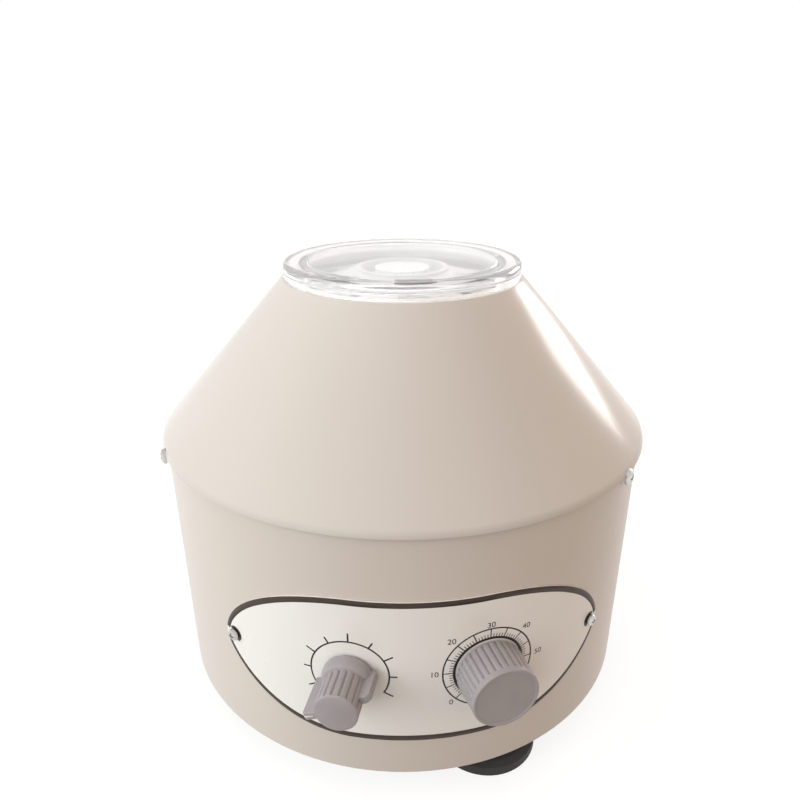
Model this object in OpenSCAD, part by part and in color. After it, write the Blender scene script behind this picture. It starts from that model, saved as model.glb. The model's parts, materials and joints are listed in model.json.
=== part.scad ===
// Benchtop centrifuge: a sheet-metal drum on three rubber cups, a conical cover with a
// lift-off clear lid, a six-place angle rotor on a universal motor, and two front dials.
// Every piece is drawn round the rotor's axis, and the bench is at z = 0.

/* [Drum] */
// Outer diameter of the drum
body_d = 250; // [240:1:265]
// Height of the drum's sheet
body_h = 133.6; // [128:0.2:150]
// Thickness of the drum's sheet
wall = 1.5; // [1:0.1:2.5]
// Width of the flange turned in at the drum's lower edge
flange_w = 10; // [8:0.5:14]
// Height of the drum's lower edge above the bench
foot_h = 15; // [13:0.5:20]
// Thickness of the base plate
base_t = 2; // [1.5:0.1:4]

/* [Cover and lid] */
// Thickness of the conical cover
cover_t = 1.3; // [1:0.1:2]
// Gap between the cover's skirt and the drum
cover_fit = 0.3; // [0.2:0.05:0.6]
// How far the skirt laps down over the drum
skirt_lap = 3.2; // [2.5:0.1:6]
// Height of the skirt up to the shoulder's corner
skirt_h = 4.5; // [4:0.1:8]
// Outer radius of the shoulder bend
shoulder_r = 2.5; // [2:0.5:4]
// Height of the cone from the shoulder's corner to its top
cone_h = 71.2; // [66:0.1:78]
// Outer diameter of the cone's top
cone_top_d = 122.2; // [120:0.1:128]
// Outer diameter of the lid
lid_d = 120.2; // [115:0.1:122]
// Height of the lid's rim
lid_h = 8.2; // [7:0.1:10]
// Thickness of the lid's plate
lid_plate = 5; // [4:0.1:6]
// Thickness of the lid's outer rim
lid_rim = 3; // [2:0.1:4]
// Outer diameter of the lid's spigot
spigot_d = 102.8; // [100:0.1:106]
// Thickness of the lid's spigot
spigot_t = 3.4; // [2:0.1:4]
// Depth of the spigot below the lid's seat
spigot_deep = 4.2; // [3:0.1:5]
// Gap between the spigot and the cover's mouth
lid_fit = 0.6; // [0.3:0.1:1]

/* [Chamber and rotor] */
// Depth of the bowl below the drum's top edge
bowl_deep = 20; // [17:0.5:22]
// Thickness of the bowl
bowl_t = 1.2; // [0.8:0.1:2]
// Gap between the bowl's wall and the drum
bowl_gap = 4.3; // [3:0.1:6]
// Gap between the rotor's edge and the bowl's wall
swing_gap = 12; // [9:0.5:15]
// Number of tube places
places = 6; // [4:1:6]
// Lean of the tubes from upright
tilt = 40; // [38:0.5:42]
// Bore of a tube sleeve
tube_bore = 18.4; // [16:0.1:19]
// Wall of a tube sleeve
sleeve_wall = 1.3; // [1:0.1:1.6]
// Depth of a sleeve's mouth below the cover's top
mouth_drop = 16.6; // [15:0.1:18]
// Thickness of the rotor's two plates
plate_t = 2.5; // [2:0.1:3.5]
// Width of the top plate's rim outside the tubes' openings
plate_rim = 3.2; // [3:0.1:5]
// Outer diameter of the ring on the top plate
ring_d = 47; // [42:0.2:50]
// Diameter of the hand nut on the rotor
nut_d = 28; // [24:0.5:34]
// Rest azimuth of the first tube place
rotor_turn = 6; // [-30:1:30]

/* [Front panel] */
// Spacing of the two dials along the drum's face
dial_pitch = 61.4; // [58:0.2:70]
// Height of the dials above the drum's lower edge
dial_h = 58.4; // [54:0.2:62]
// Thickness of the label sheet
label_t = 0.5; // [0.3:0.1:1]
// Rise of the label above its tips
label_up = 41.6; // [38:0.2:46]
// Drop of the label below its tips
label_down = 35.8; // [30:0.2:38]
// Length of the label's straight middle stretch
label_flat = 60; // [50:1:80]
// Length along the face of each curved end of the label
label_run = 68; // [60:1:72]
// Height of the label's tips above the drum's lower edge
label_h = 56.8; // [54:0.2:60]
// Height of the label's end screws above the drum's lower edge
end_screw_h = 59; // [56:0.2:62]
// Distance along the face from the middle to an end screw
end_screw_run = 91.3; // [88:0.1:93]

/* [Speed knob] */
// Reach of the knob's front beyond the drum
speed_reach = 23.4; // [20:0.2:26]
// Diameter of the fluted barrel
barrel_d = 18.9; // [17:0.1:21]
// Diameter of the base collar
collar_d = 22.9; // [21:0.1:25]
// Radius at the pointer wing's tip
pointer_r = 14.6; // [13.5:0.1:16]
// Radius at the short wing's tip
fin_r = 13.7; // [12.5:0.1:15]
// Thickness of the two wings
wing_t = 3.8; // [3:0.1:5]
// Dial angle of the pointer at rest, clockwise from the top
pointer_at = -108; // [-120:1:120]

/* [Timer knob] */
// Reach of the knob's front beyond the drum
timer_reach = 18.8; // [16:0.2:21]
// Diameter at the knob's base
timer_base_d = 31.2; // [29:0.2:33]
// Diameter at the knob's front ring
timer_front_d = 30.2; // [28:0.2:31]

/* [Feet] */
// Diameter of a rubber cup's lip
cup_d = 52; // [46:1:54]
// Diameter of a rubber cup's neck
cup_neck_d = 28; // [24:1:30]
// Azimuth of the first cup, right of the front
cup_turn = 21.5; // [10:0.5:30]

/* [Motor] */
// Outer diameter of the motor's can
motor_d = 82; // [78:1:88]
// Height of the motor's can
can_h = 50; // [48:1:56]
// Diameter of the motor's shaft
shaft_d = 8; // [6:0.5:9]
// Height of the rubber buffers under the motor
buffer_h = 12; // [10:0.5:16]
// Distance of the rubber buffers from the axis
buffer_ring = 70; // [66:1:74]

/* [Hidden] */
$fn = 96;
far = 400;

// Clearances that several pieces share
slip = 0.05;        // sliding fit on a pin or shank
sheet_gap = 0.1;    // sheet behind or on a curved sheet
fit = 0.3;          // loose fit round a piece that passes through
run_fit = 0.05;     // radial clearance of a shaft that turns

// Drum
body_r = body_d / 2;
in_r = body_r - wall;
drum_z = foot_h;
rim_z = drum_z + body_h;
base_z = drum_z + wall;
deck_z = base_z + base_t;
flange_r = in_r - flange_w;
base_screw_d = 3;

// Cover: the skirt, the shoulder bend and the cone
skirt_r = body_r + cover_fit + cover_t;
skirt_z = rim_z - skirt_lap;
corner_z = skirt_z + skirt_h;
top_z = corner_z + cone_h;
top_r = cone_top_d / 2;
cone_a = atan((skirt_r - top_r) / cone_h);
bend_r = skirt_r - shoulder_r;
bend_z = corner_z - shoulder_r * tan(cone_a / 2);
inner_bend = shoulder_r - cover_t;
mouth_r = spigot_d / 2 + lid_fit;

// Lid
lid_r = lid_d / 2;
lid_top = top_z + lid_h;
lid_under = lid_top - lid_plate;
lid_edge = 3;

// Bowl
bowl_r = in_r - bowl_gap - bowl_t;
bowl_z = rim_z - bowl_deep;
bowl_floor = bowl_z + bowl_t;
bowl_bend = 6;
neck_r = 14;
grommet_t = 2;
grommet_lap = 3;
bowl_hole_r = neck_r + fit + grommet_lap + grommet_t;

// Rotor: the tubes' axes cross the mouth's plane midway between the ring and the mouth
hub_gap = 3.4;
ring_r = ring_d / 2;
ring_z = lid_under - hub_gap;
ring_wall = 2.5;
ring_step = 1.5;
dish_deep = 5.5;
dish_z = ring_z - dish_deep;
plate_fall = 0.216;
rotor_r = bowl_r - swing_gap;
cross_r = (ring_r + mouth_r) / 2;
tip_edge = 6;
tip_r = rotor_r - tip_edge;
tip_z = top_z - (tip_r - cross_r) / tan(tilt);
sleeve_r = tube_bore / 2 + sleeve_wall;
sleeve_len = (top_z - mouth_drop - tip_z) / cos(tilt);
seat_deep = 2.4;
tray_clear = 10;
tray_z = bowl_floor + tray_clear + plate_t;
seat_r = tip_r - seat_deep * sin(tilt);
seat_z = tip_z + seat_deep * cos(tilt);
tray_bend_r = seat_r - (seat_z - tray_z) / tan(tilt);
tray_rim_z = seat_z + (rotor_r - seat_r) * tan(tilt);
hub_r = 12;
hub_flange_r = 18;
hub_flange_t = 4;
nut_h = 5.1;
nut_cap = 1.4;

// Controls: both spindles stand square to the drum, so their axes are radii
dial_z = drum_z + dial_h;
dial_az = dial_pitch / 2 / body_r * 180 / PI;
spindle_r = 3;
bushing_r = 3.5;
pad_deep = 10.5;
pad_dist = in_r - pad_deep;
spindle_in = 12.5;
label_r = body_r + sheet_gap + label_t;
bushing_end = label_r + 2.9;
nut_seat = label_r + slip;
nut_t = 2.2;
nut_flats = 10;
knob_dist = label_r + 1;
knob_bore_deep = 12;
speed_len = body_r + speed_reach - knob_dist;
cap_crown = 0.8;
cap_bevel = 0.9;
timer_len = body_r + timer_reach - knob_dist;
end_screw_z = drum_z + end_screw_h;
end_screw_az = end_screw_run / body_r * 180 / PI;
end_screw_d = 3;
end_washer_r = 2.6;
end_washer_t = 0.9;
label_z = drum_z + label_h;
top_round = 0.6;      // fullness of the label's upper curve
bottom_round = 0.7;  // fullness of its lower curve
cover_screw_d = 4;
cover_screw_az = [-69, 51, 171];
cover_screw_drop = 2;  // below the skirt's lower edge
cover_screw_z = skirt_z - cover_screw_drop;

// Feet
cup_r = cup_d / 2;
cup_neck_r = cup_neck_d / 2;
cup_ring = flange_r - cup_neck_r - 0.5;
cup_az = [cup_turn, cup_turn + 120, cup_turn - 120];
cup_screw_d = 5;
cup_sill = 4;

// Motor, from the buffers up
motor_r = motor_d / 2;
shaft_r = shaft_d / 2;
carry_z = deck_z + buffer_h;
carry_t = 3;
bell_z = carry_z + carry_t;
bell_floor = 3;
bell_wall = 3;
bell_h = 15;
can_z = bell_z + bell_h;
can_t = 1.6;
can_top = can_z + can_h;
head_h = 22.5;
head_top = can_top + head_h;
bearing_r = 11;
bearing_w = 7;
bearing_low_z = bell_z + bell_floor + 1;
bearing_top_z = head_top - bell_floor + 1;
neck_top = bowl_floor + grommet_t;
core_h = can_h - 24;
core_z = can_z + 17.5;
core_r = 22;
air_gap = 0.8;
pole_half = 50;
coil_half = 68;
coil_out = 31;
fan_r = 30;
fan_h = 8;
commutator_r = 11;
commutator_h = 12;
commutator_z = can_top + 2.5;
brush_z = commutator_z + commutator_h / 2;
brush_w = 6;
brush_tall = 8;
holder_wall = 2;
bolt_ring = motor_r + 4;
bolt_d = 4;
bolt_lug_r = 5.5;
bolt_lug_h = bell_floor + 5;
bolt_az = [0, 120, 240];
buffer_az = [90, 210, 330];
buffer_r = 8;
buffer_screw_d = 4;
buffer_bite = buffer_h / 2 - 1.5;

// Circuit board on the deck
board_az = -65;
board_gap = 19.5;
board_w = 46;
board_l = 40;
board_ring = in_r - board_l / 2 - board_gap;
board_t = 1.6;
standoff_h = 10;
board_inset = 4;
pin_r = 1.4;
sink_at = [-6, 8];
capacitor_at = [11, -8];
block_at = [-7, -11];

// Mains inlet and fuse at the back
inlet_z = drum_z + 45;
inlet_w = 20;
inlet_h = 28;
inlet_deep = 28;
bezel_w = 24;
bezel_h = 52;
bezel_t = 3.5;
bezel_dist = body_r + bezel_t;
inlet_wall = 1.8;
socket_deep = 17;
inlet_screw_d = 3;
inlet_screw_pitch = 40;
blade_set = 5;
fuse_az = 157;
fuse_r = 6;
fuse_deep = 30;
fuse_cap_r = 7.6;
fuse_cap_h = 3;

// The outline's reach fore and aft puts the middle of the footprint at the origin
front_reach = (body_r + speed_reach - cap_crown) * cos(dial_az)
  + (barrel_d / 2 - cap_bevel) * sin(dial_az);
back_reach = bezel_dist + pan_h(inlet_screw_d);
axis_y = (front_reach - back_reach) / 2;

// Places children at an azimuth, a height and a distance: z points out, x right, y up.
module on_radius(az, z, dist) {
  rotate([0, 0, az]) translate([0, -dist, z]) rotate([90, 0, 0]) children();
}

// Places children upright at an azimuth, a distance from the axis and a height.
module at_polar(az, dist, z) {
  rotate([0, 0, az]) translate([0, -dist, z]) children();
}

// A plain ring about the axis.
module ring(r_out, r_in, z_low, z_high) {
  translate([0, 0, z_low]) difference() {
    cylinder(r = r_out, h = z_high - z_low);
    translate([0, 0, -1]) cylinder(r = r_in, h = z_high - z_low + 2);
  }
}

// The part of a ring between two azimuths.
module ring_sector(r_out, r_in, z_low, z_high, az_low, az_high) {
  steps = 6;
  intersection() {
    ring(r_out, r_in, z_low, z_high);
    translate([0, 0, z_low - 1]) linear_extrude(z_high - z_low + 2)
      polygon(concat([[0, 0]], [
        for (i = [0 : steps]) let (a = az_low + (az_high - az_low) * i / steps)
          [2 * r_out * sin(a), -2 * r_out * cos(a)]
      ]));
  }
}

// A bar of rectangular section that points out along z.
module bar(w, h, from, to) {
  translate([-w / 2, -h / 2, from]) cube([w, h, to - from]);
}

// A hexagon nut standing on z = 0.
module hex_nut(flats, h, hole_r) {
  difference() {
    cylinder(d = flats / cos(30), h = h, $fn = 6);
    translate([0, 0, -1]) cylinder(r = hole_r, h = h + 2);
  }
}

function nut_across(d) = d + 3;
function nut_tall(d) = 0.8 * d;
function pan_r(d) = 0.95 * d;
function pan_h(d) = 0.65 * d;

// A pan-head screw: the head stands on z = 0, the shank runs down, a cross is sunk in the head.
module pan_screw(d, len) {
  brim = 0.35;
  translate([0, 0, -len]) cylinder(d = d, h = len + pan_h(d) / 4);
  difference() {
    rotate_extrude() polygon(concat(
      [[0, 0], [pan_r(d), 0]],
      [for (a = [0 : 15 : 90]) [pan_r(d) * cos(a), pan_h(d) * (brim + (1 - brim) * sin(a))]]
    ));
    for (a = [0, 90]) rotate([0, 0, a]) translate([0, 0, pan_h(d)])
      cube([1.05 * d, 0.2 * d, pan_h(d)], center = true);
  }
}

// Drum: rolled sheet with the lower edge turned in, and holes for what passes through it.
module body_shell() {
  color("#d9cfc3") difference() {
    rotate_extrude() polygon([
      [flange_r, drum_z], [body_r, drum_z], [body_r, rim_z],
      [in_r, rim_z], [in_r, base_z], [flange_r, base_z]
    ]);
    for (az = cover_screw_az) on_radius(az, cover_screw_z, in_r - 1)
      cylinder(d = cover_screw_d + 2 * slip, h = wall + 2);
    for (side = [-1, 1]) on_radius(side * end_screw_az, end_screw_z, in_r - 1)
      cylinder(d = end_screw_d + 2 * slip, h = wall + 2);
    for (side = [-1, 1]) on_radius(side * dial_az, dial_z, in_r - 1)
      cylinder(r = bushing_r + fit, h = wall + 2);
    on_radius(180, inlet_z, 0) bar(inlet_w + 2 * fit, inlet_h + 2 * fit, in_r - 2, body_r + 1);
    for (side = [-1, 1]) on_radius(180, inlet_z + side * inlet_screw_pitch / 2, in_r - 1)
      cylinder(d = inlet_screw_d + 2 * slip, h = wall + 2);
    on_radius(fuse_az, inlet_z, in_r - 1) cylinder(r = fuse_r + fit, h = wall + 2);
    for (az = [0 : 60 : 300]) at_polar(az, in_r - flange_w / 2, drum_z - 1)
      cylinder(d = base_screw_d + 2 * slip, h = wall + 2);
  }
}

// Base plate: drops on to the drum's flange, carries the cups, the motor and the board.
module base_plate() {
  vent_r = 4.5;
  color("#8f8b86") difference() {
    translate([0, 0, base_z]) cylinder(r = in_r - fit, h = base_t);
    for (az = [0 : 60 : 300]) at_polar(az, in_r - flange_w / 2, base_z - 1)
      cylinder(d = base_screw_d + 2 * slip, h = base_t + 2);
    for (az = cup_az) at_polar(az, cup_ring, base_z - 1)
      cylinder(d = cup_screw_d + 2 * slip, h = base_t + 2);
    for (az = buffer_az) at_polar(az, buffer_ring, base_z - 1)
      cylinder(d = buffer_screw_d + 2 * slip, h = base_t + 2);
    for (row = [1 : 3]) for (i = [0 : 6 * row - 1]) at_polar(i * 60 / row, row * 14, base_z - 1)
      cylinder(r = vent_r, h = base_t + 2);
  }
}

// Screws from below through the flange into the base plate.
module base_screws() {
  color("silver") for (az = [0 : 60 : 300]) at_polar(az, in_r - flange_w / 2, drum_z)
    mirror([0, 0, 1]) pan_screw(base_screw_d, wall + base_t + 1);
}

// Rubber cups: a stout lip, a shallow hollow and a neck under the base plate.
module rubber_cups() {
  lip_h = 6;
  hollow = 3.2;
  well_r = pan_r(cup_screw_d) + 1;
  shelf = base_z - cup_sill;
  color("#2b2a28") for (az = cup_az) at_polar(az, cup_ring, 0) rotate_extrude() polygon([
    [cup_screw_d / 2 + slip, shelf], [cup_screw_d / 2 + slip, base_z], [cup_neck_r, base_z],
    [cup_neck_r + 1, base_z - 3.5], [cup_r - 2.5, lip_h + 2.2], [cup_r, lip_h], [cup_r, 1],
    [cup_r - 1, 0], [cup_r - 4, 0], [cup_r - 9, 0.7 * hollow], [well_r, hollow], [well_r, shelf]
  ]);
}

// Screws that hold the cups, with heads up inside the hollows.
module cup_screws() {
  color("silver") for (az = cup_az) at_polar(az, cup_ring, base_z - cup_sill)
    mirror([0, 0, 1]) pan_screw(cup_screw_d, cup_sill + base_t + 5);
}

// Nuts of the cup screws on the deck.
module cup_nuts() {
  color("silver") for (az = cup_az) at_polar(az, cup_ring, deck_z)
    hex_nut(nut_across(cup_screw_d), nut_tall(cup_screw_d), cup_screw_d / 2 + slip);
}

// The shoulder bend at radius r: from the skirt's side round to the cone's.
function bend_arc(r) = [
  for (i = [0 : 8]) let (a = cone_a * i / 8) [bend_r + r * cos(a), bend_z + r * sin(a)]
];

// Radius of the cover's inner face at height z on the cone.
function cone_in(z) = bend_r + (inner_bend - (z - bend_z) * sin(cone_a)) / cos(cone_a);

function back_to_front(v) = [for (i = [len(v) - 1 : -1 : 0]) v[i]];

// Conical cover: spun sheet with a skirt over the drum and a flat lip round the mouth.
module cone_cover() {
  color("#e0d8cd") difference() {
    rotate_extrude() polygon(concat(
      [[skirt_r, skirt_z]], bend_arc(shoulder_r),
      [[top_r, top_z], [mouth_r, top_z], [mouth_r, top_z - cover_t],
       [cone_in(top_z - cover_t), top_z - cover_t]],
      back_to_front(bend_arc(inner_bend)), [[skirt_r - cover_t, skirt_z]]
    ));
    for (az = cover_screw_az) on_radius(az, cover_screw_z, body_r - 1)
      cylinder(r = cover_screw_d / 2 + fit, h = cover_fit + cover_t + 3);
  }
}

// Screws in the notches of the skirt's lower edge.
module cover_screws() {
  color("silver") for (az = cover_screw_az) on_radius(az, cover_screw_z, skirt_r)
    pan_screw(cover_screw_d, cover_fit + cover_t + wall + bowl_gap / 2);
}

// Clear lid: a thick plate with a rounded rim that rests on the cover's lip, and a spigot.
module clear_lid() {
  spigot_r = spigot_d / 2;
  spigot_in = spigot_r - spigot_t;
  spigot_z = top_z - spigot_deep;
  color([0.9, 0.93, 0.95, 0.4]) rotate_extrude() polygon(concat(
    [[lid_r - lid_rim, top_z], [lid_r, top_z]],
    [for (a = [0 : 15 : 90])
      [lid_r - lid_edge + lid_edge * cos(a), lid_top - lid_edge + lid_edge * sin(a)]],
    [[0, lid_top], [0, lid_under], [spigot_in, lid_under], [spigot_in, spigot_z],
     [spigot_r, spigot_z], [spigot_r, lid_under], [lid_r - lid_rim, lid_under]]
  ));
}

// Bowl: a shallow spun pan whose flange lies on the drum's top edge under the cover.
module chamber_bowl() {
  outer = bowl_r + bowl_t;
  turn_z = bowl_floor + bowl_bend;
  turn_r = bowl_r - bowl_bend;
  color("#b9bcbf") rotate_extrude() polygon(concat(
    [[bowl_hole_r, bowl_z]],
    [for (a = [-90 : 15 : 0])
      [turn_r + (bowl_bend + bowl_t) * cos(a), turn_z + (bowl_bend + bowl_t) * sin(a)]],
    [[outer, rim_z], [body_r - 0.4, rim_z], [body_r - 0.4, rim_z + bowl_t], [bowl_r, rim_z + bowl_t]],
    [for (a = [0 : -15 : -90]) [turn_r + bowl_bend * cos(a), turn_z + bowl_bend * sin(a)]],
    [[bowl_hole_r, bowl_floor]]
  ));
}

// Rubber grommet in the bowl's hole, round the motor's neck.
module shaft_grommet() {
  lip_r = bowl_hole_r + grommet_lap;
  inner = neck_r + fit;
  color("#2b2a28") rotate_extrude() polygon([
    [inner, bowl_z - grommet_t], [lip_r, bowl_z - grommet_t], [lip_r, bowl_z],
    [bowl_hole_r, bowl_z], [bowl_hole_r, bowl_floor], [lip_r, bowl_floor],
    [lip_r, bowl_floor + grommet_t], [inner, bowl_floor + grommet_t]
  ]);
}

// Puts children on a tube's axis: z = 0 at the sleeve's tip, z up towards its mouth.
module along_tube(place) {
  rotate([0, 0, rotor_turn + place * 360 / places]) translate([0, -tip_r, tip_z])
    rotate([-tilt, 0, 0]) children();
}

// Round-bottomed outside of a sleeve, grown by a clearance.
module sleeve_form(grow) {
  translate([0, 0, sleeve_r]) sphere(r = sleeve_r + grow);
  translate([0, 0, sleeve_r]) cylinder(r = sleeve_r + grow, h = sleeve_len - sleeve_r);
}

// Hub: a turned spool that stands on the shaft and spaces the two plates.
module rotor_hub() {
  foot_z = tray_z - plate_t - hub_flange_t;
  color("#c4c6c8") difference() {
    union() {
      translate([0, 0, foot_z]) cylinder(r = hub_r, h = dish_z - plate_t - foot_z);
      translate([0, 0, foot_z]) cylinder(r = hub_flange_r, h = hub_flange_t);
    }
    translate([0, 0, foot_z - 1]) cylinder(r = shaft_r + slip, h = dish_z - foot_z + 2);
  }
}

// Top plate: a shallow umbrella with a raised ring and a dish in the middle, and one long
// mouth for each tube where the tube's path crosses it.
module rotor_top_plate() {
  crown_z = ring_z - ring_step;
  slot_end = (cross_r + (sleeve_r + fit) / cos(tilt)
    + (top_z - crown_z - ring_r * plate_fall) * tan(tilt)) / (1 - plate_fall * tan(tilt));
  edge_r = slot_end + plate_rim;
  edge_z = crown_z - (edge_r - ring_r) * plate_fall;
  dish_r = ring_r - ring_wall;
  color("#d4d5d3") difference() {
    rotate_extrude() polygon([
      [shaft_r + slip, dish_z], [dish_r, dish_z], [dish_r, ring_z], [ring_r, ring_z],
      [ring_r, crown_z], [edge_r, edge_z], [edge_r, edge_z - plate_t],
      [ring_r, crown_z - plate_t], [dish_r, dish_z - plate_t], [shaft_r + slip, dish_z - plate_t]
    ]);
    for (k = [0 : places - 1]) along_tube(k) translate([0, 0, sleeve_len / 2])
      cylinder(r = sleeve_r + fit, h = sleeve_len);
  }
}

// Tray: the lower plate, flat round the hub and turned up square to the tubes' tips.
module rotor_tray() {
  color("#c4c6c8") difference() {
    rotate_extrude() polygon([
      [hub_r + slip, tray_z], [tray_bend_r, tray_z], [rotor_r, tray_rim_z],
      [rotor_r, tray_rim_z - plate_t / cos(tilt)],
      [tray_bend_r + plate_t * tan(tilt / 2), tray_z - plate_t], [hub_r + slip, tray_z - plate_t]
    ]);
    for (k = [0 : places - 1]) along_tube(k) sleeve_form(slip);
  }
}

// Sleeves: round-bottomed liners that hold the tubes.
module tube_sleeves() {
  color("#f1efe9") for (k = [0 : places - 1]) along_tube(k) difference() {
    sleeve_form(0);
    translate([0, 0, sleeve_r]) sphere(d = tube_bore);
    translate([0, 0, sleeve_r]) cylinder(d = tube_bore, h = sleeve_len);
  }
}

// Hand nut that clamps the rotor, with a notched edge for the fingers.
module rotor_nut() {
  notches = 20;
  notch_r = 0.9;
  color("#e6e6e4") translate([0, 0, dish_z]) difference() {
    cylinder(d = nut_d, h = nut_h);
    translate([0, 0, -1]) cylinder(r = shaft_r + slip, h = nut_h - nut_cap + 1);
    for (i = [0 : notches - 1]) at_polar(i * 360 / notches, nut_d / 2 + notch_r / 2, -1)
      cylinder(r = notch_r, h = nut_h + 2);
  }
}

// Motor shaft, from the lower bearing up into the rotor's nut.
module motor_shaft() {
  low = bearing_low_z - 0.7;
  high = dish_z + nut_h - nut_cap - fit;
  color("#aeb1b4") translate([0, 0, low]) cylinder(r = shaft_r, h = high - low);
}

// Laminated armature core with winding slots.
module armature_core() {
  slots = 12;
  color("#6d6f72") difference() {
    ring(core_r, shaft_r + slip, core_z, core_z + core_h);
    for (i = [0 : slots - 1]) at_polar(i * 360 / slots, core_r - 4, core_z - 1)
      cylinder(r = 3, h = core_h + 2);
    for (i = [0 : slots - 1]) rotate([0, 0, i * 360 / slots])
      translate([-0.9, -core_r - 1, core_z - 1]) cube([1.8, 4, core_h + 2]);
  }
}

// Enamelled winding: the bars in the slots and the two end turns.
module armature_winding() {
  slots = 12;
  end_h = 6.5;
  end_r = core_r - 2;
  bar_r = 2.7;
  color("#a9602c") union() {
    ring(end_r, shaft_r + 3, core_z - end_h, core_z - slip);
    ring(end_r, shaft_r + 3, core_z + core_h + slip, core_z + core_h + end_h);
    for (i = [0 : slots - 1]) at_polar(i * 360 / slots, core_r - 4, core_z - 1)
      cylinder(r = bar_r, h = core_h + 2);
  }
}

// Commutator: copper bars round the shaft.
module commutator() {
  bars = 12;
  cut = 0.6;
  color("#b87b45") difference() {
    ring(commutator_r, shaft_r + slip, commutator_z, commutator_z + commutator_h);
    for (i = [0 : bars - 1]) rotate([0, 0, i * 360 / bars])
      translate([-cut / 2, -commutator_r - 1, commutator_z - 1]) cube([cut, 2, commutator_h + 2]);
  }
}

// Cooling fan with radial blades below the armature.
module cooling_fan() {
  blades = 9;
  fan_hub_r = 9;
  disc_t = 1.6;
  fan_z = can_z + 1;
  color("#3a3c40") difference() {
    union() {
      translate([0, 0, fan_z]) cylinder(r = fan_hub_r, h = fan_h);
      translate([0, 0, fan_z + fan_h - disc_t]) cylinder(r = fan_r, h = disc_t);
      for (i = [0 : blades - 1]) rotate([0, 0, i * 360 / blades])
        translate([-0.8, -fan_r, fan_z]) cube([1.6, fan_r - fan_hub_r / 2, fan_h]);
    }
    translate([0, 0, fan_z - 1]) cylinder(r = shaft_r + slip, h = fan_h + 2);
  }
}

// Steel can round the field.
module motor_can() {
  color("#7c8086") ring(motor_r, motor_r - can_t, can_z, can_top);
}

// Field laminations: an outer yoke and two pole shoes.
module field_core() {
  reach = 2;
  yoke_r = motor_r - can_t - 0.2;
  color("#6d6f72") union() {
    ring(yoke_r, coil_out + 0.2, core_z - reach, core_z + core_h + reach);
    for (az = [0, 180]) ring_sector(coil_out + 1, core_r + air_gap, core_z - reach,
      core_z + core_h + reach, az - pole_half, az + pole_half);
  }
}

// Field coils: one saddle wound round each pole.
module field_coils() {
  reach = 2;
  turn = 4.5;
  inner = core_r + air_gap + 1.5;
  color("#a9602c") for (az = [0, 180]) difference() {
    ring_sector(coil_out, inner, core_z - reach - turn, core_z + core_h + reach + turn,
      az - coil_half, az + coil_half);
    ring_sector(coil_out + 2, inner - 2, core_z - reach - slip, core_z + core_h + reach + slip,
      az - pole_half - 0.5, az + pole_half + 0.5);
  }
}

// Lugs on a motor bell for the long bolts.
module bell_lugs(z, h) {
  for (az = bolt_az) at_polar(az, bolt_ring, z) cylinder(r = bolt_lug_r, h = h);
}

// Bolt holes through the lugs.
module bolt_holes(z, h) {
  for (az = bolt_az) at_polar(az, bolt_ring, z - 1) cylinder(d = bolt_d + 2 * slip, h = h + 2);
}

// Lower bell: a cup with the lower bearing's seat and air windows.
module motor_foot_bell() {
  boss_r = bearing_r + 3;
  seat_top = bearing_low_z + bearing_w;
  window_h = 7;
  color("#8d9196") difference() {
    union() {
      ring(motor_r, motor_r - bell_wall, bell_z, can_z);
      translate([0, 0, bell_z]) cylinder(r = motor_r, h = bell_floor);
      translate([0, 0, bell_z]) cylinder(r = boss_r, h = seat_top - bell_z);
      bell_lugs(bell_z, bolt_lug_h);
    }
    translate([0, 0, bearing_low_z]) cylinder(r = bearing_r + slip, h = bearing_w + 1);
    translate([0, 0, bell_z + bell_floor]) cylinder(r = bearing_r - 4, h = bearing_w);
    bolt_holes(bell_z, bolt_lug_h);
    for (az = [30 : 60 : 330]) on_radius(az, bell_z + bell_floor + 1 + window_h / 2, 0)
      bar(12, window_h, motor_r - bell_wall - 1, motor_r + 1);
  }
}

// Upper bell: a cap with the upper bearing in its neck and ports for the brush holders.
module motor_head_bell() {
  seat = bearing_top_z + bearing_w;
  color("#8d9196") difference() {
    union() {
      translate([0, 0, can_top]) cylinder(r = motor_r, h = head_h);
      translate([0, 0, can_top]) cylinder(r = neck_r, h = neck_top - can_top);
      bell_lugs(head_top - bolt_lug_h, bolt_lug_h);
    }
    translate([0, 0, can_top - 1]) cylinder(r = motor_r - bell_wall, h = head_h - bell_floor + 1);
    translate([0, 0, bearing_top_z - 2]) cylinder(r = bearing_r + slip, h = bearing_w + 2);
    translate([0, 0, seat - 1]) cylinder(r = shaft_r + 1, h = neck_top - seat + 2);
    bolt_holes(head_top - bolt_lug_h, bolt_lug_h);
    for (az = [90, 270]) on_radius(az, brush_z, 0)
      bar(brush_w + 2 * holder_wall + 2 * slip, brush_tall + 2 * holder_wall + 2 * slip,
        motor_r - bell_wall - 2, motor_r + 1);
  }
}

// A ball bearing: two rings joined by its shields.
module bearing(z) {
  translate([0, 0, z]) rotate_extrude() polygon([
    [shaft_r + slip / 2, 0], [shaft_r + 2, 0], [shaft_r + 2, 0.5], [bearing_r - 2, 0.5],
    [bearing_r - 2, 0], [bearing_r, 0], [bearing_r, bearing_w], [bearing_r - 2, bearing_w],
    [bearing_r - 2, bearing_w - 0.5], [shaft_r + 2, bearing_w - 0.5], [shaft_r + 2, bearing_w],
    [shaft_r + slip / 2, bearing_w]
  ]);
}

module lower_bearing() {
  color("#b9bcbf") bearing(bearing_low_z);
}

module upper_bearing() {
  color("#b9bcbf") bearing(bearing_top_z);
}

// Brush holders: square tubes through the upper bell, one on each side.
module brush_holders() {
  color("#4a3b30") for (az = [90, 270]) on_radius(az, brush_z, 0) difference() {
    bar(brush_w + 2 * holder_wall, brush_tall + 2 * holder_wall, commutator_r + 3, motor_r + 2);
    bar(brush_w + 2 * sheet_gap, brush_tall + 2 * sheet_gap, commutator_r, motor_r + 3);
  }
}

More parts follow.
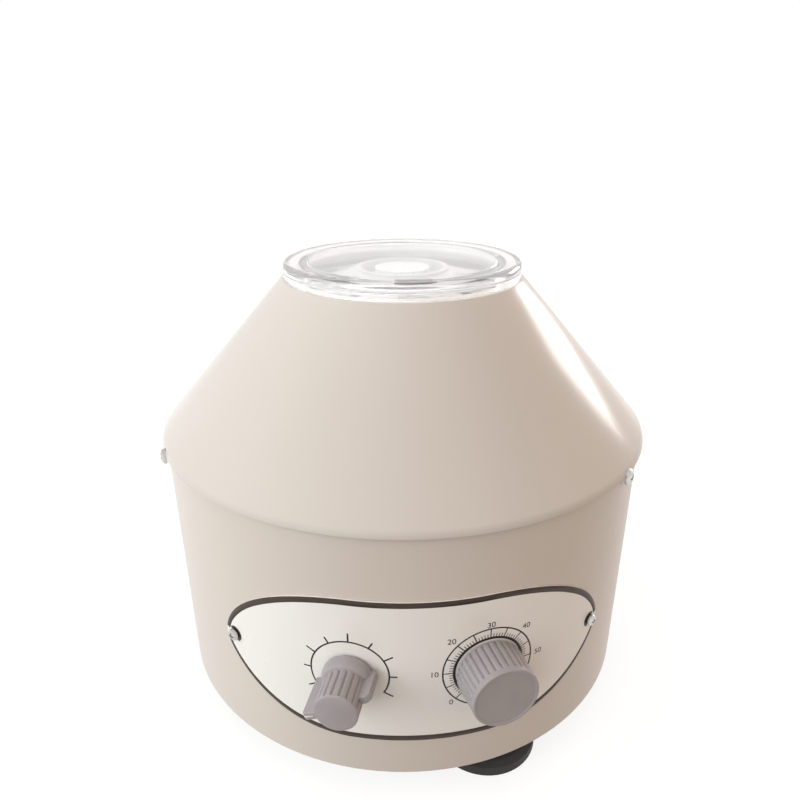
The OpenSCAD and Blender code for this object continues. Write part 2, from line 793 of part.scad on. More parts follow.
// Carbon brushes that bear on the commutator.
module carbon_brushes() {
  brush_len = 17;
  color("#26262a") for (az = [90, 270]) on_radius(az, brush_z, 0)
    bar(brush_w, brush_tall, commutator_r + sheet_gap, commutator_r + brush_len);
}

// Caps that close the brush holders.
module brush_caps() {
  plug = 3;
  cap_r = (brush_tall + 2 * holder_wall) / 2;
  color("#26262a") for (az = [90, 270]) on_radius(az, brush_z, motor_r + 2) union() {
    cylinder(r = cap_r, h = 2.5);
    bar(brush_w, brush_tall, -plug, 1);
  }
}

// Long bolts that hold the bells, the can and the carrier together.
module motor_bolts() {
  color("silver") for (az = bolt_az) at_polar(az, bolt_ring, carry_z)
    mirror([0, 0, 1]) pan_screw(bolt_d, head_top - carry_z + 5);
}

module motor_nuts() {
  color("silver") for (az = bolt_az) at_polar(az, bolt_ring, head_top)
    hex_nut(nut_across(bolt_d), nut_tall(bolt_d), bolt_d / 2 + slip);
}

// Carrier: a steel plate with three arms to the rubber buffers.
module motor_carrier() {
  arm_w = 20;
  air_r = 20;
  color("#6f7276") difference() {
    union() {
      translate([0, 0, carry_z]) cylinder(r = bolt_ring + bolt_lug_r + 1.5, h = carry_t);
      for (az = buffer_az) rotate([0, 0, az]) {
        translate([-arm_w / 2, -buffer_ring, carry_z]) cube([arm_w, buffer_ring, carry_t]);
        translate([0, -buffer_ring, carry_z]) cylinder(d = arm_w, h = carry_t);
      }
    }
    translate([0, 0, carry_z - 1]) cylinder(r = air_r, h = carry_t + 2);
    bolt_holes(carry_z, carry_t);
    for (az = buffer_az) at_polar(az, buffer_ring, carry_z - 1)
      cylinder(d = buffer_screw_d + 2 * slip, h = carry_t + 2);
  }
}

// Rubber buffers between the deck and the carrier.
module rubber_buffers() {
  waist = 1;
  hole_r = buffer_screw_d / 2 + slip;
  color("#2b2a28") for (az = buffer_az) at_polar(az, buffer_ring, deck_z) difference() {
    rotate_extrude() polygon([
      [0, 0], [buffer_r, 0], [buffer_r, 1.5], [buffer_r - waist, buffer_h / 2],
      [buffer_r, buffer_h - 1.5], [buffer_r, buffer_h], [0, buffer_h]
    ]);
    translate([0, 0, -1]) cylinder(r = hole_r, h = buffer_bite + slip + 1);
    translate([0, 0, buffer_h - buffer_bite - slip]) cylinder(r = hole_r, h = buffer_bite + 1);
  }
}

// Screws into both ends of the buffers.
module buffer_screws() {
  color("silver") for (az = buffer_az) {
    at_polar(az, buffer_ring, base_z) mirror([0, 0, 1])
      pan_screw(buffer_screw_d, base_t + buffer_bite);
    at_polar(az, buffer_ring, bell_z) pan_screw(buffer_screw_d, carry_t + buffer_bite);
  }
}

// Label outline, unrolled: half length x along the face gives the rise and the drop.
function end_part(x) = min(1, max(0, (abs(x) - label_flat / 2) / label_run));
function label_rise(x) = label_up * pow(1 - pow(end_part(x), 2), top_round);
function label_drop(x) = label_down * pow(1 - pow(end_part(x), 2), bottom_round);
function on_face(x, z) = [body_r * sin(x / body_r * 180 / PI), label_z + z];
label_half = label_flat / 2 + label_run;
// Stations along the label are closer together towards its ends
label_x = [for (i = [-20 : 20]) label_half * sin(i * 4.5)];

// Label: a thin sheet wrapped on the drum, with a hole for the screw at each end.
module label_plate() {
  color("#efedea") difference() {
    intersection() {
      ring(label_r, body_r + sheet_gap, drum_z, rim_z);
      rotate([90, 0, 0]) linear_extrude(body_r * 2) polygon(concat(
        [for (x = label_x) on_face(x, label_rise(x))],
        [for (i = [len(label_x) - 2 : -1 : 1]) on_face(label_x[i], -label_drop(label_x[i]))]
      ));
    }
    for (side = [-1, 1]) on_radius(side * end_screw_az, end_screw_z, in_r)
      cylinder(r = end_screw_d / 2 + fit, h = wall + label_t + 2);
    for (side = [-1, 1]) on_radius(side * dial_az, dial_z, in_r)
      cylinder(r = bushing_r + fit, h = wall + label_t + 2);
  }
}

// Screws at the label's ends, which hold the control carrier behind the wall.
module end_screws() {
  head_dist = label_r + end_washer_t;
  color("silver") for (side = [-1, 1]) on_radius(side * end_screw_az, end_screw_z, head_dist)
    pan_screw(end_screw_d, head_dist - body_r + wall + 6);
}

// Black spring washers under the end screws' heads.
module end_washers() {
  color("#2c2c2c") for (side = [-1, 1]) on_radius(side * end_screw_az, end_screw_z, label_r)
    difference() {
      cylinder(r = end_washer_r, h = end_washer_t);
      translate([0, 0, -1]) cylinder(r = end_screw_d / 2 + slip, h = end_washer_t + 2);
    }
}

// Control carrier: a moulded strap behind the wall with a flat pad under each control.
module control_carrier() {
  strap_t = 2.4;
  strap_half = 15;
  ear = 6;
  pad_r = [18, 24];
  strap_z = (dial_z + end_screw_z) / 2;
  back_r = in_r - sheet_gap;
  color("#55585c") difference() {
    intersection() {
      translate([0, 0, drum_z]) cylinder(r = back_r, h = body_h);
      union() {
        ring_sector(back_r, back_r - strap_t, strap_z - strap_half, strap_z + strap_half,
          -end_screw_az - ear, end_screw_az + ear);
        for (i = [0, 1]) on_radius((2 * i - 1) * dial_az, dial_z, pad_dist)
          cylinder(r = pad_r[i], h = pad_deep + 2);
      }
    }
    for (side = [-1, 1]) on_radius(side * dial_az, dial_z, pad_dist - 1)
      cylinder(r = bushing_r + slip, h = pad_deep + 3);
    for (side = [-1, 1]) on_radius(side * end_screw_az, end_screw_z, in_r - strap_t - 2)
      cylinder(d = end_screw_d + 2 * slip, h = strap_t + 4);
  }
}

// A rotary control: a round case behind the pad and a bushing through the panel.
module rotary_control(az, case_r, case_deep) {
  on_radius(az, dial_z, 0) difference() {
    union() {
      translate([0, 0, pad_dist - case_deep]) cylinder(r = case_r, h = case_deep);
      translate([0, 0, pad_dist - 1]) cylinder(r = bushing_r, h = bushing_end - pad_dist + 1);
    }
    translate([0, 0, pad_dist - spindle_in - fit]) cylinder(r = spindle_r + run_fit, h = bushing_end);
  }
}

// A spindle that turns in a control's bushing.
module spindle(az) {
  low = pad_dist - spindle_in;
  on_radius(az, dial_z, low) cylinder(r = spindle_r, h = knob_dist + knob_bore_deep - slip - low);
}

// The nut that clamps a control to the panel.
module panel_nut(az) {
  on_radius(az, dial_z, nut_seat) hex_nut(nut_flats, nut_t, bushing_r + slip);
}

// Speed control: a rotary resistor with three solder lugs.
module speed_control() {
  case_r = 15;
  case_deep = 16;
  lug = 9;
  color("#3f4246") union() {
    rotary_control(-dial_az, case_r, case_deep);
    on_radius(-dial_az, dial_z, pad_dist - 5) for (x = [-8, 0, 8])
      translate([x - 1.5, -case_r - lug / 2, 0]) cube([3, lug, 1]);
  }
}

module speed_nut() {
  color("silver") panel_nut(-dial_az);
}

module speed_spindle() {
  color("#b9bcbf") spindle(-dial_az);
}

// Hollow under a knob that clears the panel nut, and the bore for its spindle.
module knob_hollow() {
  translate([0, 0, -1]) cylinder(r = nut_flats / 2 / cos(30) + 1, h = bushing_end - knob_dist + 2);
  translate([0, 0, -1]) cylinder(r = spindle_r + slip, h = knob_bore_deep + 1);
}

// A wing of a knob: an outline of radius against height, drawn at a dial angle.
module knob_wing(dial_angle, outline) {
  rotate([0, 0, 90 - dial_angle]) rotate([90, 0, 0])
    translate([0, 0, -wing_t / 2]) linear_extrude(wing_t) polygon(outline);
}

// Speed knob: a domed collar, a fluted barrel, a full pointer wing and a shorter fin.
module speed_knob() {
  barrel_r = barrel_d / 2;
  collar_r = collar_d / 2;
  brim = 1.8;
  dome_h = 4.2;
  flutes = 20;
  flute_r = 0.6;
  fin_h = speed_len - 6.5;
  foot = 0.5;
  flute_z = brim + dome_h;
  color("#a39c9e") on_radius(-dial_az, dial_z, knob_dist) difference() {
    union() {
      difference() {
        rotate_extrude() polygon(concat(
          [[0, 0], [collar_r, 0]],
          [for (a = [0 : 15 : 90])
            [barrel_r + (collar_r - barrel_r) * cos(a), brim + dome_h * sin(a)]],
          [[barrel_r, speed_len - cap_crown - cap_bevel], [barrel_r - cap_bevel, speed_len - cap_crown]],
          [for (u = [0.75, 0.5, 0.25, 0]) [(barrel_r - cap_bevel) * u, speed_len - cap_crown * u * u]]
        ));
        for (i = [0 : flutes - 1]) rotate([0, 0, i * 360 / flutes])
          translate([barrel_r + flute_r / 4, 0, flute_z])
            cylinder(r = flute_r, h = speed_len - cap_crown - cap_bevel - flute_z);
      }
      knob_wing(pointer_at, [
        [barrel_r / 2, foot], [pointer_r, foot], [pointer_r, speed_len - cap_crown - cap_bevel],
        [pointer_r - cap_bevel, speed_len - cap_crown], [barrel_r / 2, speed_len - cap_crown]
      ]);
      knob_wing(pointer_at + 180, [
        [barrel_r / 2, foot], [fin_r, foot], [fin_r, fin_h - 2], [fin_r - 2, fin_h],
        [barrel_r / 2, fin_h]
      ]);
    }
    knob_hollow();
  }
}

// Timer: a clockwork case behind the panel.
module timer_case() {
  case_r = 22;
  case_deep = 32;
  color("#c9c5b6") rotary_control(dial_az, case_r, case_deep);
}

module timer_nut() {
  color("silver") panel_nut(dial_az);
}

module timer_spindle() {
  color("#b9bcbf") spindle(dial_az);
}

// Timer knob: a tapered fluted drum with a plain front ring and a raised rim on its face.
module timer_knob() {
  base_r = timer_base_d / 2;
  front_r = timer_front_d / 2;
  band = 3;
  rim_w = 1.1;
  rim_h = 0.5;
  flutes = 36;
  flute_r = 0.6;
  flute_len = timer_len - band;
  taper = atan((base_r - front_r) / flute_len);
  color("#a39c9e") on_radius(dial_az, dial_z, knob_dist) difference() {
    rotate_extrude() polygon([
      [0, 0], [base_r, 0], [front_r, flute_len], [front_r, timer_len - rim_h],
      [front_r - rim_h, timer_len], [front_r - rim_w, timer_len],
      [front_r - rim_w - rim_h, timer_len - rim_h], [0, timer_len - rim_h]
    ]);
    for (i = [0 : flutes - 1]) rotate([0, 0, i * 360 / flutes])
      translate([base_r + flute_r / 4, 0, 0]) rotate([0, -taper, 0])
        translate([0, 0, -1]) cylinder(r = flute_r, h = flute_len + 1);
    knob_hollow();
  }
}

// Places children on the circuit board's spot: x across, y inwards, z up from the deck.
module on_board() {
  at_polar(board_az, board_ring, deck_z) children();
}

module board_corners() {
  for (x = [-1, 1]) for (y = [-1, 1])
    translate([x * (board_w / 2 - board_inset), y * (board_l / 2 - board_inset), 0]) children();
}

// Circuit board of the speed control.
module circuit_board() {
  color("#3d6b4a") on_board() translate([0, 0, standoff_h]) difference() {
    translate([-board_w / 2, -board_l / 2, 0]) cube([board_w, board_l, board_t]);
    board_corners() translate([0, 0, -1]) cylinder(r = pin_r + slip, h = board_t + 2);
  }
}

// Stand-offs that snap through the board's corners.
module board_standoffs() {
  color("#f1efe9") on_board() board_corners() union() {
    cylinder(r = 3, h = standoff_h);
    cylinder(r = pin_r, h = standoff_h + board_t + 1.2);
  }
}

// Finned heat sink of the power switch.
module heat_sink() {
  fins = 5;
  sink_w = 26;
  sink_l = 11;
  sink_h = 20;
  color("#2f3134") on_board() translate([sink_at[0], sink_at[1], standoff_h + board_t]) union() {
    translate([-sink_w / 2, -1.5, 0]) cube([sink_w, 3, sink_h]);
    for (i = [0 : fins - 1])
      translate([-sink_w / 2 + i * (sink_w - 2) / (fins - 1), -1.5, 0]) cube([2, sink_l - 4, sink_h]);
  }
}

// Capacitor standing on the board.
module smoothing_capacitor() {
  can_r = 6;
  groove = 0.6;
  tall = 18;
  color("#4b5a78") on_board() translate([capacitor_at[0], capacitor_at[1], standoff_h + board_t])
    rotate_extrude() polygon([
      [0, 0], [can_r, 0], [can_r, 2], [can_r - groove, 2 + groove], [can_r, 2 + 2 * groove],
      [can_r, tall - groove], [can_r - groove, tall], [0, tall]
    ]);
}

// Screw terminals for the mains and motor leads.
module terminal_block() {
  ways = 4;
  pitch = 5;
  color("#5b7f55") on_board() translate([block_at[0], block_at[1], standoff_h + board_t]) difference() {
    translate([-ways * pitch / 2, -4.5, 0]) cube([ways * pitch, 9, 10]);
    for (i = [0 : ways - 1]) translate([(i - (ways - 1) / 2) * pitch, 0, 0]) {
      translate([0, 1, 6]) cylinder(r = 1.8, h = 6);
      translate([0, -1, 3]) rotate([90, 0, 0]) cylinder(r = 1.6, h = 6);
    }
  }
}

// Mains inlet: a saddle bezel on the drum and a socket box through the wall.
module inlet_housing() {
  corner = 5;
  color("#26262a") difference() {
    union() {
      difference() {
        on_radius(180, inlet_z, 0) bar(bezel_w, bezel_h, body_r - 5, bezel_dist);
        cylinder(r = body_r + sheet_gap, h = far);
      }
      on_radius(180, inlet_z, 0) bar(inlet_w, inlet_h, bezel_dist - inlet_deep, bezel_dist - 1);
    }
    on_radius(180, inlet_z, bezel_dist - socket_deep) linear_extrude(socket_deep + 1)
      socket_outline(inlet_w - 2 * inlet_wall, inlet_h - 2 * inlet_wall, corner);
    for (side = [-1, 1]) on_radius(180, inlet_z + side * inlet_screw_pitch / 2, body_r - 5)
      cylinder(d = inlet_screw_d + 2 * slip, h = bezel_t + 8);
  }
}

// Socket mouth: an upright rectangle with two corners cut off on one side.
module socket_outline(w, h, corner) {
  polygon([
    [-w / 2, -h / 2], [w / 2 - corner, -h / 2], [w / 2, -h / 2 + corner],
    [w / 2, h / 2 - corner], [w / 2 - corner, h / 2], [-w / 2, h / 2]
  ]);
}

// Three contact blades in the inlet.
module inlet_blades() {
  floor_dist = bezel_dist - socket_deep;
  spread = 7;
  color("#c4a25a") on_radius(180, inlet_z, 0) for (p = [[-2.5, -spread], [2.5, 0], [-2.5, spread]])
    translate([p[0], p[1], 0]) bar(4, 2, floor_dist, bezel_dist - blade_set);
}

module inlet_screws() {
  color("silver") for (side = [-1, 1])
    on_radius(180, inlet_z + side * inlet_screw_pitch / 2, bezel_dist)
      pan_screw(inlet_screw_d, bezel_t + wall + 3);
}

// Fuse holder: a round tube through the wall with a collar outside.
module fuse_holder() {
  bore_r = 3.6;
  color("#26262a") on_radius(fuse_az, inlet_z, 0) difference() {
    union() {
      translate([0, 0, body_r - fuse_deep]) cylinder(r = fuse_r, h = fuse_deep + 2);
      translate([0, 0, body_r + sheet_gap]) cylinder(r = fuse_cap_r, h = 2 - sheet_gap);
    }
    translate([0, 0, body_r - fuse_deep + 2]) cylinder(r = bore_r, h = fuse_deep + 2);
  }
}

// Screw cap of the fuse holder, with a slot across it.
module fuse_cap() {
  color("#26262a") on_radius(fuse_az, inlet_z, body_r + 2) difference() {
    union() {
      cylinder(r = fuse_r, h = fuse_cap_h);
      translate([0, 0, -8]) cylinder(r = 3.5, h = 9);
    }
    translate([0, 0, fuse_cap_h]) cube([2 * fuse_r + 1, 1.2, 1.6], center = true);
  }
}

// Sets the footprint's middle at the origin.
module place() {
  translate([0, axis_y, 0]) children();
}

place() body_shell();
place() base_plate();
place() base_screws();
place() rubber_cups();
place() cup_screws();
place() cup_nuts();
place() cone_cover();
place() cover_screws();
place() clear_lid();
place() chamber_bowl();
place() shaft_grommet();
place() rotor_hub();
place() rotor_top_plate();
place() rotor_tray();
place() tube_sleeves();
place() rotor_nut();
place() motor_shaft();
place() armature_core();
place() armature_winding();
place() commutator();
place() cooling_fan();
place() motor_can();
place() field_core();
place() field_coils();
place() motor_foot_bell();
place() motor_head_bell();
place() lower_bearing();
place() upper_bearing();
place() brush_holders();
place() carbon_brushes();
place() brush_caps();
place() motor_bolts();
place() motor_nuts();
place() motor_carrier();
place() rubber_buffers();
place() buffer_screws();
place() label_plate();
place() end_screws();
place() end_washers();
place() control_carrier();
place() speed_control();
place() speed_nut();
place() speed_spindle();
place() speed_knob();
place() timer_case();
place() timer_nut();
place() timer_spindle();
place() timer_knob();
place() circuit_board();
place() board_standoffs();
place() heat_sink();
place() smoothing_capacitor();
place() terminal_block();
place() inlet_housing();
place() inlet_blades();
place() inlet_screws();
place() fuse_holder();
place() fuse_cap();
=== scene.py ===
import json
import math

import bmesh
import bpy
import numpy as np
from mathutils import Matrix


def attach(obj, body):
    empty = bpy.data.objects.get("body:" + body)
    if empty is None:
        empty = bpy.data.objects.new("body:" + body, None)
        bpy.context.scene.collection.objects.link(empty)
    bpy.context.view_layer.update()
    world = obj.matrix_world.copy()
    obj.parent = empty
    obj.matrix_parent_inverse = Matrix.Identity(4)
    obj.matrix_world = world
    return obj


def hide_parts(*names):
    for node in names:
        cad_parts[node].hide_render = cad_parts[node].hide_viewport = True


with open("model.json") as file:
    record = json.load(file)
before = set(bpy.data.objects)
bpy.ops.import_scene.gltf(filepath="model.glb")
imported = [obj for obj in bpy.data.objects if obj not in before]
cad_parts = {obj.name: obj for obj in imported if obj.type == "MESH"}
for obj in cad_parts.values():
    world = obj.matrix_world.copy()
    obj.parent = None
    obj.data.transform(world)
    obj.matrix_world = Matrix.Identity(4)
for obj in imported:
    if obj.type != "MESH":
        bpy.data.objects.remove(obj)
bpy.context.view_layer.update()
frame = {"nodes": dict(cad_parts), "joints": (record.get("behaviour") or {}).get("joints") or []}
nodes = frame["nodes"]
MM = 0.001

# Viewpoint: a hand-held camera a little to the left of the panel's middle, looking down on the cone.
# The rotor's axis is the line that every round piece of the machine is measured from.
axis_y = next(j for j in frame["joints"] if j["name"] == "rotor_spin")["pos_m"][1]
look_yaw = math.radians(3.11)
look_down = math.radians(24.02)
look_roll = math.radians(-0.22)
forward = np.array(
    [
        math.sin(look_yaw) * math.cos(look_down),
        math.cos(look_yaw) * math.cos(look_down),
        -math.sin(look_down),
    ]
)
level_right = np.array([math.cos(look_yaw), -math.sin(look_yaw), 0.0])
level_up = np.cross(level_right, forward)
cam_right = math.cos(look_roll) * level_right + math.sin(look_roll) * level_up
cam_up = -math.sin(look_roll) * level_right + math.cos(look_roll) * level_up
lens = bpy.data.cameras.new("viewpoint")
lens.lens = 30.64
lens.sensor_width = 36.0
lens.shift_y = 0.025
lens.clip_start = 0.01
camera = bpy.data.objects.new("viewpoint", lens)
bpy.context.scene.collection.objects.link(camera)
eye = (-0.0203, axis_y - 0.3476, 0.2942)
turn = np.eye(4)
turn[:3, 0], turn[:3, 1], turn[:3, 2] = cam_right, cam_up, -forward
turn[:3, 3] = eye
camera.matrix_world = Matrix(turn.tolist())
bpy.context.scene.camera = camera
bpy.context.scene.view_settings.view_transform = "Standard"

# Room: white walls with a warm cast, broad daylight from the left and from above, a weak warm fill from
# the right, and a narrow bright window behind on the right, whose reflection runs down the cone.
def looked_at(tree):
    """A socket that is 1 for rays from the camera, from gloss and through glass, and 0 for soft light: the
    greatest of the three kinds."""
    rays = tree.nodes.new("ShaderNodeLightPath")
    direct = tree.nodes.new("ShaderNodeMath")
    direct.operation = "MAXIMUM"
    through = tree.nodes.new("ShaderNodeMath")
    through.operation = "MAXIMUM"
    tree.links.new(rays.outputs["Is Camera Ray"], direct.inputs[0])
    tree.links.new(rays.outputs["Is Glossy Ray"], direct.inputs[1])
    tree.links.new(direct.outputs[0], through.inputs[0])
    tree.links.new(rays.outputs["Is Transmission Ray"], through.inputs[1])
    return through.outputs[0]


world = bpy.data.worlds.new("white_room")
bpy.context.scene.world = world
world.use_nodes = True
room = world.node_tree
room.nodes.clear()
soft_wall = room.nodes.new("ShaderNodeBackground")
soft_wall.inputs["Color"].default_value = (1.0, 0.81, 0.65, 1.0)
soft_wall.inputs["Strength"].default_value = 0.45
bright_wall = room.nodes.new("ShaderNodeBackground")
bright_wall.inputs["Color"].default_value = (1.0, 1.0, 1.0, 1.0)
bright_wall.inputs["Strength"].default_value = 1.0
choose_wall = room.nodes.new("ShaderNodeMixShader")
room_out = room.nodes.new("ShaderNodeOutputWorld")
room.links.new(looked_at(room), choose_wall.inputs[0])
room.links.new(soft_wall.outputs[0], choose_wall.inputs[1])
room.links.new(bright_wall.outputs[0], choose_wall.inputs[2])
room.links.new(choose_wall.outputs[0], room_out.inputs["Surface"])


def hang_lamp(name, place, aim, width, height, power, tint, mirrored=False):
    """A rectangular lamp at a place, turned so that its face looks at a point. Only a mirrored lamp
    shows in gloss."""
    lamp = bpy.data.lights.new(name, "AREA")
    lamp.shape = "RECTANGLE"
    lamp.size, lamp.size_y = width, height
    lamp.energy = power
    lamp.color = tint
    hung = bpy.data.objects.new(name, lamp)
    bpy.context.scene.collection.objects.link(hung)
    back = np.array(place, float) - np.array(aim, float)
    back /= np.linalg.norm(back)
    side = np.cross([0.0, 0.0, 1.0], back)
    side /= np.linalg.norm(side)
    stand = np.eye(4)
    stand[:3, 0], stand[:3, 1], stand[:3, 2] = side, np.cross(back, side), back
    stand[:3, 3] = place
    hung.matrix_world = Matrix(stand.tolist())
    hung.visible_glossy = mirrored


machine = (0, 0, 0.12)
cool_side, cool_front = (0.86, 0.97, 1.0), (0.90, 0.97, 1.0)
warm_top, warm_side, plain = (1.0, 0.97, 0.94), (1.0, 0.77, 0.56), (1.0, 1.0, 1.0)
hang_lamp("left_lamp", (-1.25, -0.30, 0.60), machine, 0.9, 0.9, 9.6, cool_side)
hang_lamp("front_left_lamp", (-0.78, -1.03, 0.68), machine, 1.2, 1.2, 8.1, cool_front)
hang_lamp("ceiling_lamp", (-0.25, 0.10, 1.50), machine, 1.2, 1.2, 7.4, warm_top)
hang_lamp("right_fill", (1.25, -0.35, 0.50), machine, 0.9, 0.9, 2.7, warm_side)
window_aim = (0.05, -0.05, 0.17)
hang_lamp("back_right_window", (0.944, 0.753, 0.46), window_aim, 0.57, 0.34, 6.5, plain, True)


# Bench top: a plain sheet that carries the soft shadow under the machine. Seen directly or in glass and
# gloss it is white, a little greyer near the machine, and to the soft light it is a beige laminate.
def finish(name, light, dark, patch, rough, grain, depth, stretch=(1.0, 1.0, 1.0), metal=0.0):
    """A finish whose colour drifts between two tints in patches of a size in metres, whose roughness
    drifts with them, and whose surface has a grain of a size and depth in metres. stretch draws the
    grain out along an axis, as brushing and turning do."""
    made = bpy.data.materials.new(name)
    made.use_nodes = True
    tree = made.node_tree
    shader = tree.nodes["Principled BSDF"]
    place = tree.nodes.new("ShaderNodeTexCoord")
    lie = tree.nodes.new("ShaderNodeMapping")
    lie.inputs["Scale"].default_value = stretch
    patches = tree.nodes.new("ShaderNodeTexNoise")
    patches.inputs["Scale"].default_value = 1.0 / patch
    patches.inputs["Detail"].default_value = 4.0
    tints = tree.nodes.new("ShaderNodeValToRGB")
    tints.color_ramp.elements[0].position = 0.30
    tints.color_ramp.elements[0].color = (*dark, 1.0)
    tints.color_ramp.elements[1].position = 0.70
    tints.color_ramp.elements[1].color = (*light, 1.0)
    gloss = tree.nodes.new("ShaderNodeMapRange")
    gloss.inputs["To Min"].default_value = rough[0]
    gloss.inputs["To Max"].default_value = rough[1]
    grit = tree.nodes.new("ShaderNodeTexNoise")
    grit.inputs["Scale"].default_value = 1.0 / grain
    grit.inputs["Detail"].default_value = 3.0
    relief = tree.nodes.new("ShaderNodeBump")
    relief.inputs["Strength"].default_value = 1.0
    relief.inputs["Distance"].default_value = depth
    shader.inputs["Metallic"].default_value = metal
    tree.links.new(place.outputs["Object"], lie.inputs["Vector"])
    tree.links.new(lie.outputs["Vector"], patches.inputs["Vector"])
    tree.links.new(lie.outputs["Vector"], grit.inputs["Vector"])
    tree.links.new(patches.outputs["Fac"], tints.inputs["Fac"])
    tree.links.new(tints.outputs["Color"], shader.inputs["Base Color"])
    tree.links.new(patches.outputs["Fac"], gloss.inputs["Value"])
    tree.links.new(gloss.outputs["Result"], shader.inputs["Roughness"])
    tree.links.new(grit.outputs["Fac"], relief.inputs["Height"])
    tree.links.new(relief.outputs["Normal"], shader.inputs["Normal"])
    return made


def dress(material, *names):
    """Gives each named solid this one finish."""
    for name in names:
        nodes[name].data.materials.clear()
        nodes[name].data.materials.append(material)


bench_half = 6.0
bench_mesh = bpy.data.meshes.new("bench_top")
bench_corners = bench_half * np.array([[-1, -1, 0], [1, -1, 0], [1, 1, 0], [-1, 1, 0]])
bench_mesh.from_pydata(bench_corners.tolist(), [], [(0, 1, 2, 3)])
bench = bpy.data.objects.new("bench_top", bench_mesh)
bpy.context.scene.collection.objects.link(bench)
laminate = finish("bench_laminate", (0.24, 0.215, 0.19), (0.21, 0.19, 0.165), 0.5, (0.7, 0.8), 0.004, 0.00002)
bench_mesh.materials.append(laminate)
sheet = laminate.node_tree
paper = sheet.nodes.new("ShaderNodeEmission")
paper_place = sheet.nodes.new("ShaderNodeTexCoord")
paper_reach = sheet.nodes.new("ShaderNodeVectorMath")
paper_reach.operation = "LENGTH"
paper_glow = sheet.nodes.new("ShaderNodeMapRange")
paper_glow.interpolation_type = "SMOOTHSTEP"
paper_glow.inputs["From Min"].default_value = 0.16
paper_glow.inputs["From Max"].default_value = 0.50
paper_glow.inputs["To Min"].default_value = 0.84
paper_glow.inputs["To Max"].default_value = 1.0
sheet.links.new(paper_place.outputs["Object"], paper_reach.inputs[0])
sheet.links.new(paper_reach.outputs["Value"], paper_glow.inputs["Value"])
sheet.links.new(paper_glow.outputs["Result"], paper.inputs["Strength"])
faint = sheet.nodes.new("ShaderNodeBsdfDiffuse")
faint.inputs["Color"].default_value = (0.22, 0.22, 0.22, 1.0)
white_sheet = sheet.nodes.new("ShaderNodeAddShader")
choose_sheet = sheet.nodes.new("ShaderNodeMixShader")
sheet.links.new(paper.outputs[0], white_sheet.inputs[0])
sheet.links.new(faint.outputs[0], white_sheet.inputs[1])
sheet.links.new(looked_at(sheet), choose_sheet.inputs[0])
sheet.links.new(sheet.nodes["Principled BSDF"].outputs[0], choose_sheet.inputs[1])
sheet.links.new(white_sheet.outputs[0], choose_sheet.inputs[2])
sheet.links.new(choose_sheet.outputs[0], sheet.nodes["Material Output"].inputs["Surface"])

# Drum: sheet steel rolled to a cylinder, with its lower edge turned in. Its warm beige stove enamel has a
# faint orange-peel. The base plate, the panel and the cover are fixed to it.
drum_enamel = finish(
    "drum_enamel", (0.672, 0.602, 0.553), (0.642, 0.572, 0.523), 0.11, (0.30, 0.38), 0.0016, 0.000012
)
dress(drum_enamel, "body_shell")

# Conical cover: spun sheet steel in the same enamel, a little glossier. Its lower edge bends over the drum
# in one soft curve, and a flat lip runs round its mouth. Screws at the lower edge hold it.
cover_enamel = finish(
    "cover_enamel", (0.612, 0.566, 0.534), (0.588, 0.542, 0.510), 0.13, (0.17, 0.23), 0.0018, 0.000010
)
edge_r, edge_z, edge_lean = 127.1, 144.9, math.radians(10)
brow_r, brow_z, mouth_r, lip_under = 61.1, 221.1, 52.0, 219.8
bend, sheet_t = 7.0, 0.30
bend_count, arc_steps = 25, 7


def set_shader(material, socket, value):
    """Sets one constant of a finish directly on its shader."""
    material.node_tree.nodes["Principled BSDF"].inputs[socket].default_value = value


def grid_quads(rows, cols, loop_rows=False, loop_cols=False):
    """Four-sided faces between neighbouring points of a grid; a looped direction closes on itself."""
    i = np.arange(rows if loop_rows else rows - 1)[:, None]
    j = np.arange(cols if loop_cols else cols - 1)[None, :]
    i_next, j_next = (i + 1) % rows, (j + 1) % cols
    corners = np.broadcast_arrays(i * cols + j, i * cols + j_next, i_next * cols + j_next, i_next * cols + j)
    return np.stack(corners, -1).reshape(-1, 4)


def piece(name, parts, material, body, sharp=40.0, closed=True):
    """One object from grids of points, each with its faces. Points that meet at a pole or a seam are
    merged, the faces of closed forms are turned outwards, and only edges past an angle stay crisp."""
    counts = np.cumsum([0] + [points.reshape(-1, 3).shape[0] for points, _ in parts])
    points = np.concatenate([points.reshape(-1, 3) for points, _ in parts])
    faces = np.concatenate([quads + start for (_, quads), start in zip(parts, counts)])
    mesh = bpy.data.meshes.new(name)
    mesh.from_pydata(points.tolist(), [], faces.tolist())
    work = bmesh.new()
    work.from_mesh(mesh)
    bmesh.ops.remove_doubles(work, verts=work.verts, dist=2e-7)
    if closed:
        bmesh.ops.recalc_face_normals(work, faces=work.faces)
    work.to_mesh(mesh)
    work.free()
    mesh.polygons.foreach_set("use_smooth", np.ones(len(mesh.polygons), bool))
    mesh.set_sharp_from_angle(angle=math.radians(sharp))
    mesh.materials.append(material)
    made = bpy.data.objects.new(name, mesh)
    bpy.context.scene.collection.objects.link(made)
    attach(made, body)
    return made


def lathe(profile, turns=256):
    """A profile of radius and height carried round the rotor's axis: at angle a a point (r, z) stands at
    (r sin a, axis - r cos a, z)."""
    a = np.linspace(0.0, 2 * np.pi, turns, endpoint=False)[None, :]
    r, z = MM * profile[:, :1], MM * profile[:, 1:]
    points = np.stack([r * np.sin(a), axis_y - r * np.cos(a), z + 0 * a], -1)
    return points, grid_quads(len(profile), turns, loop_cols=True)


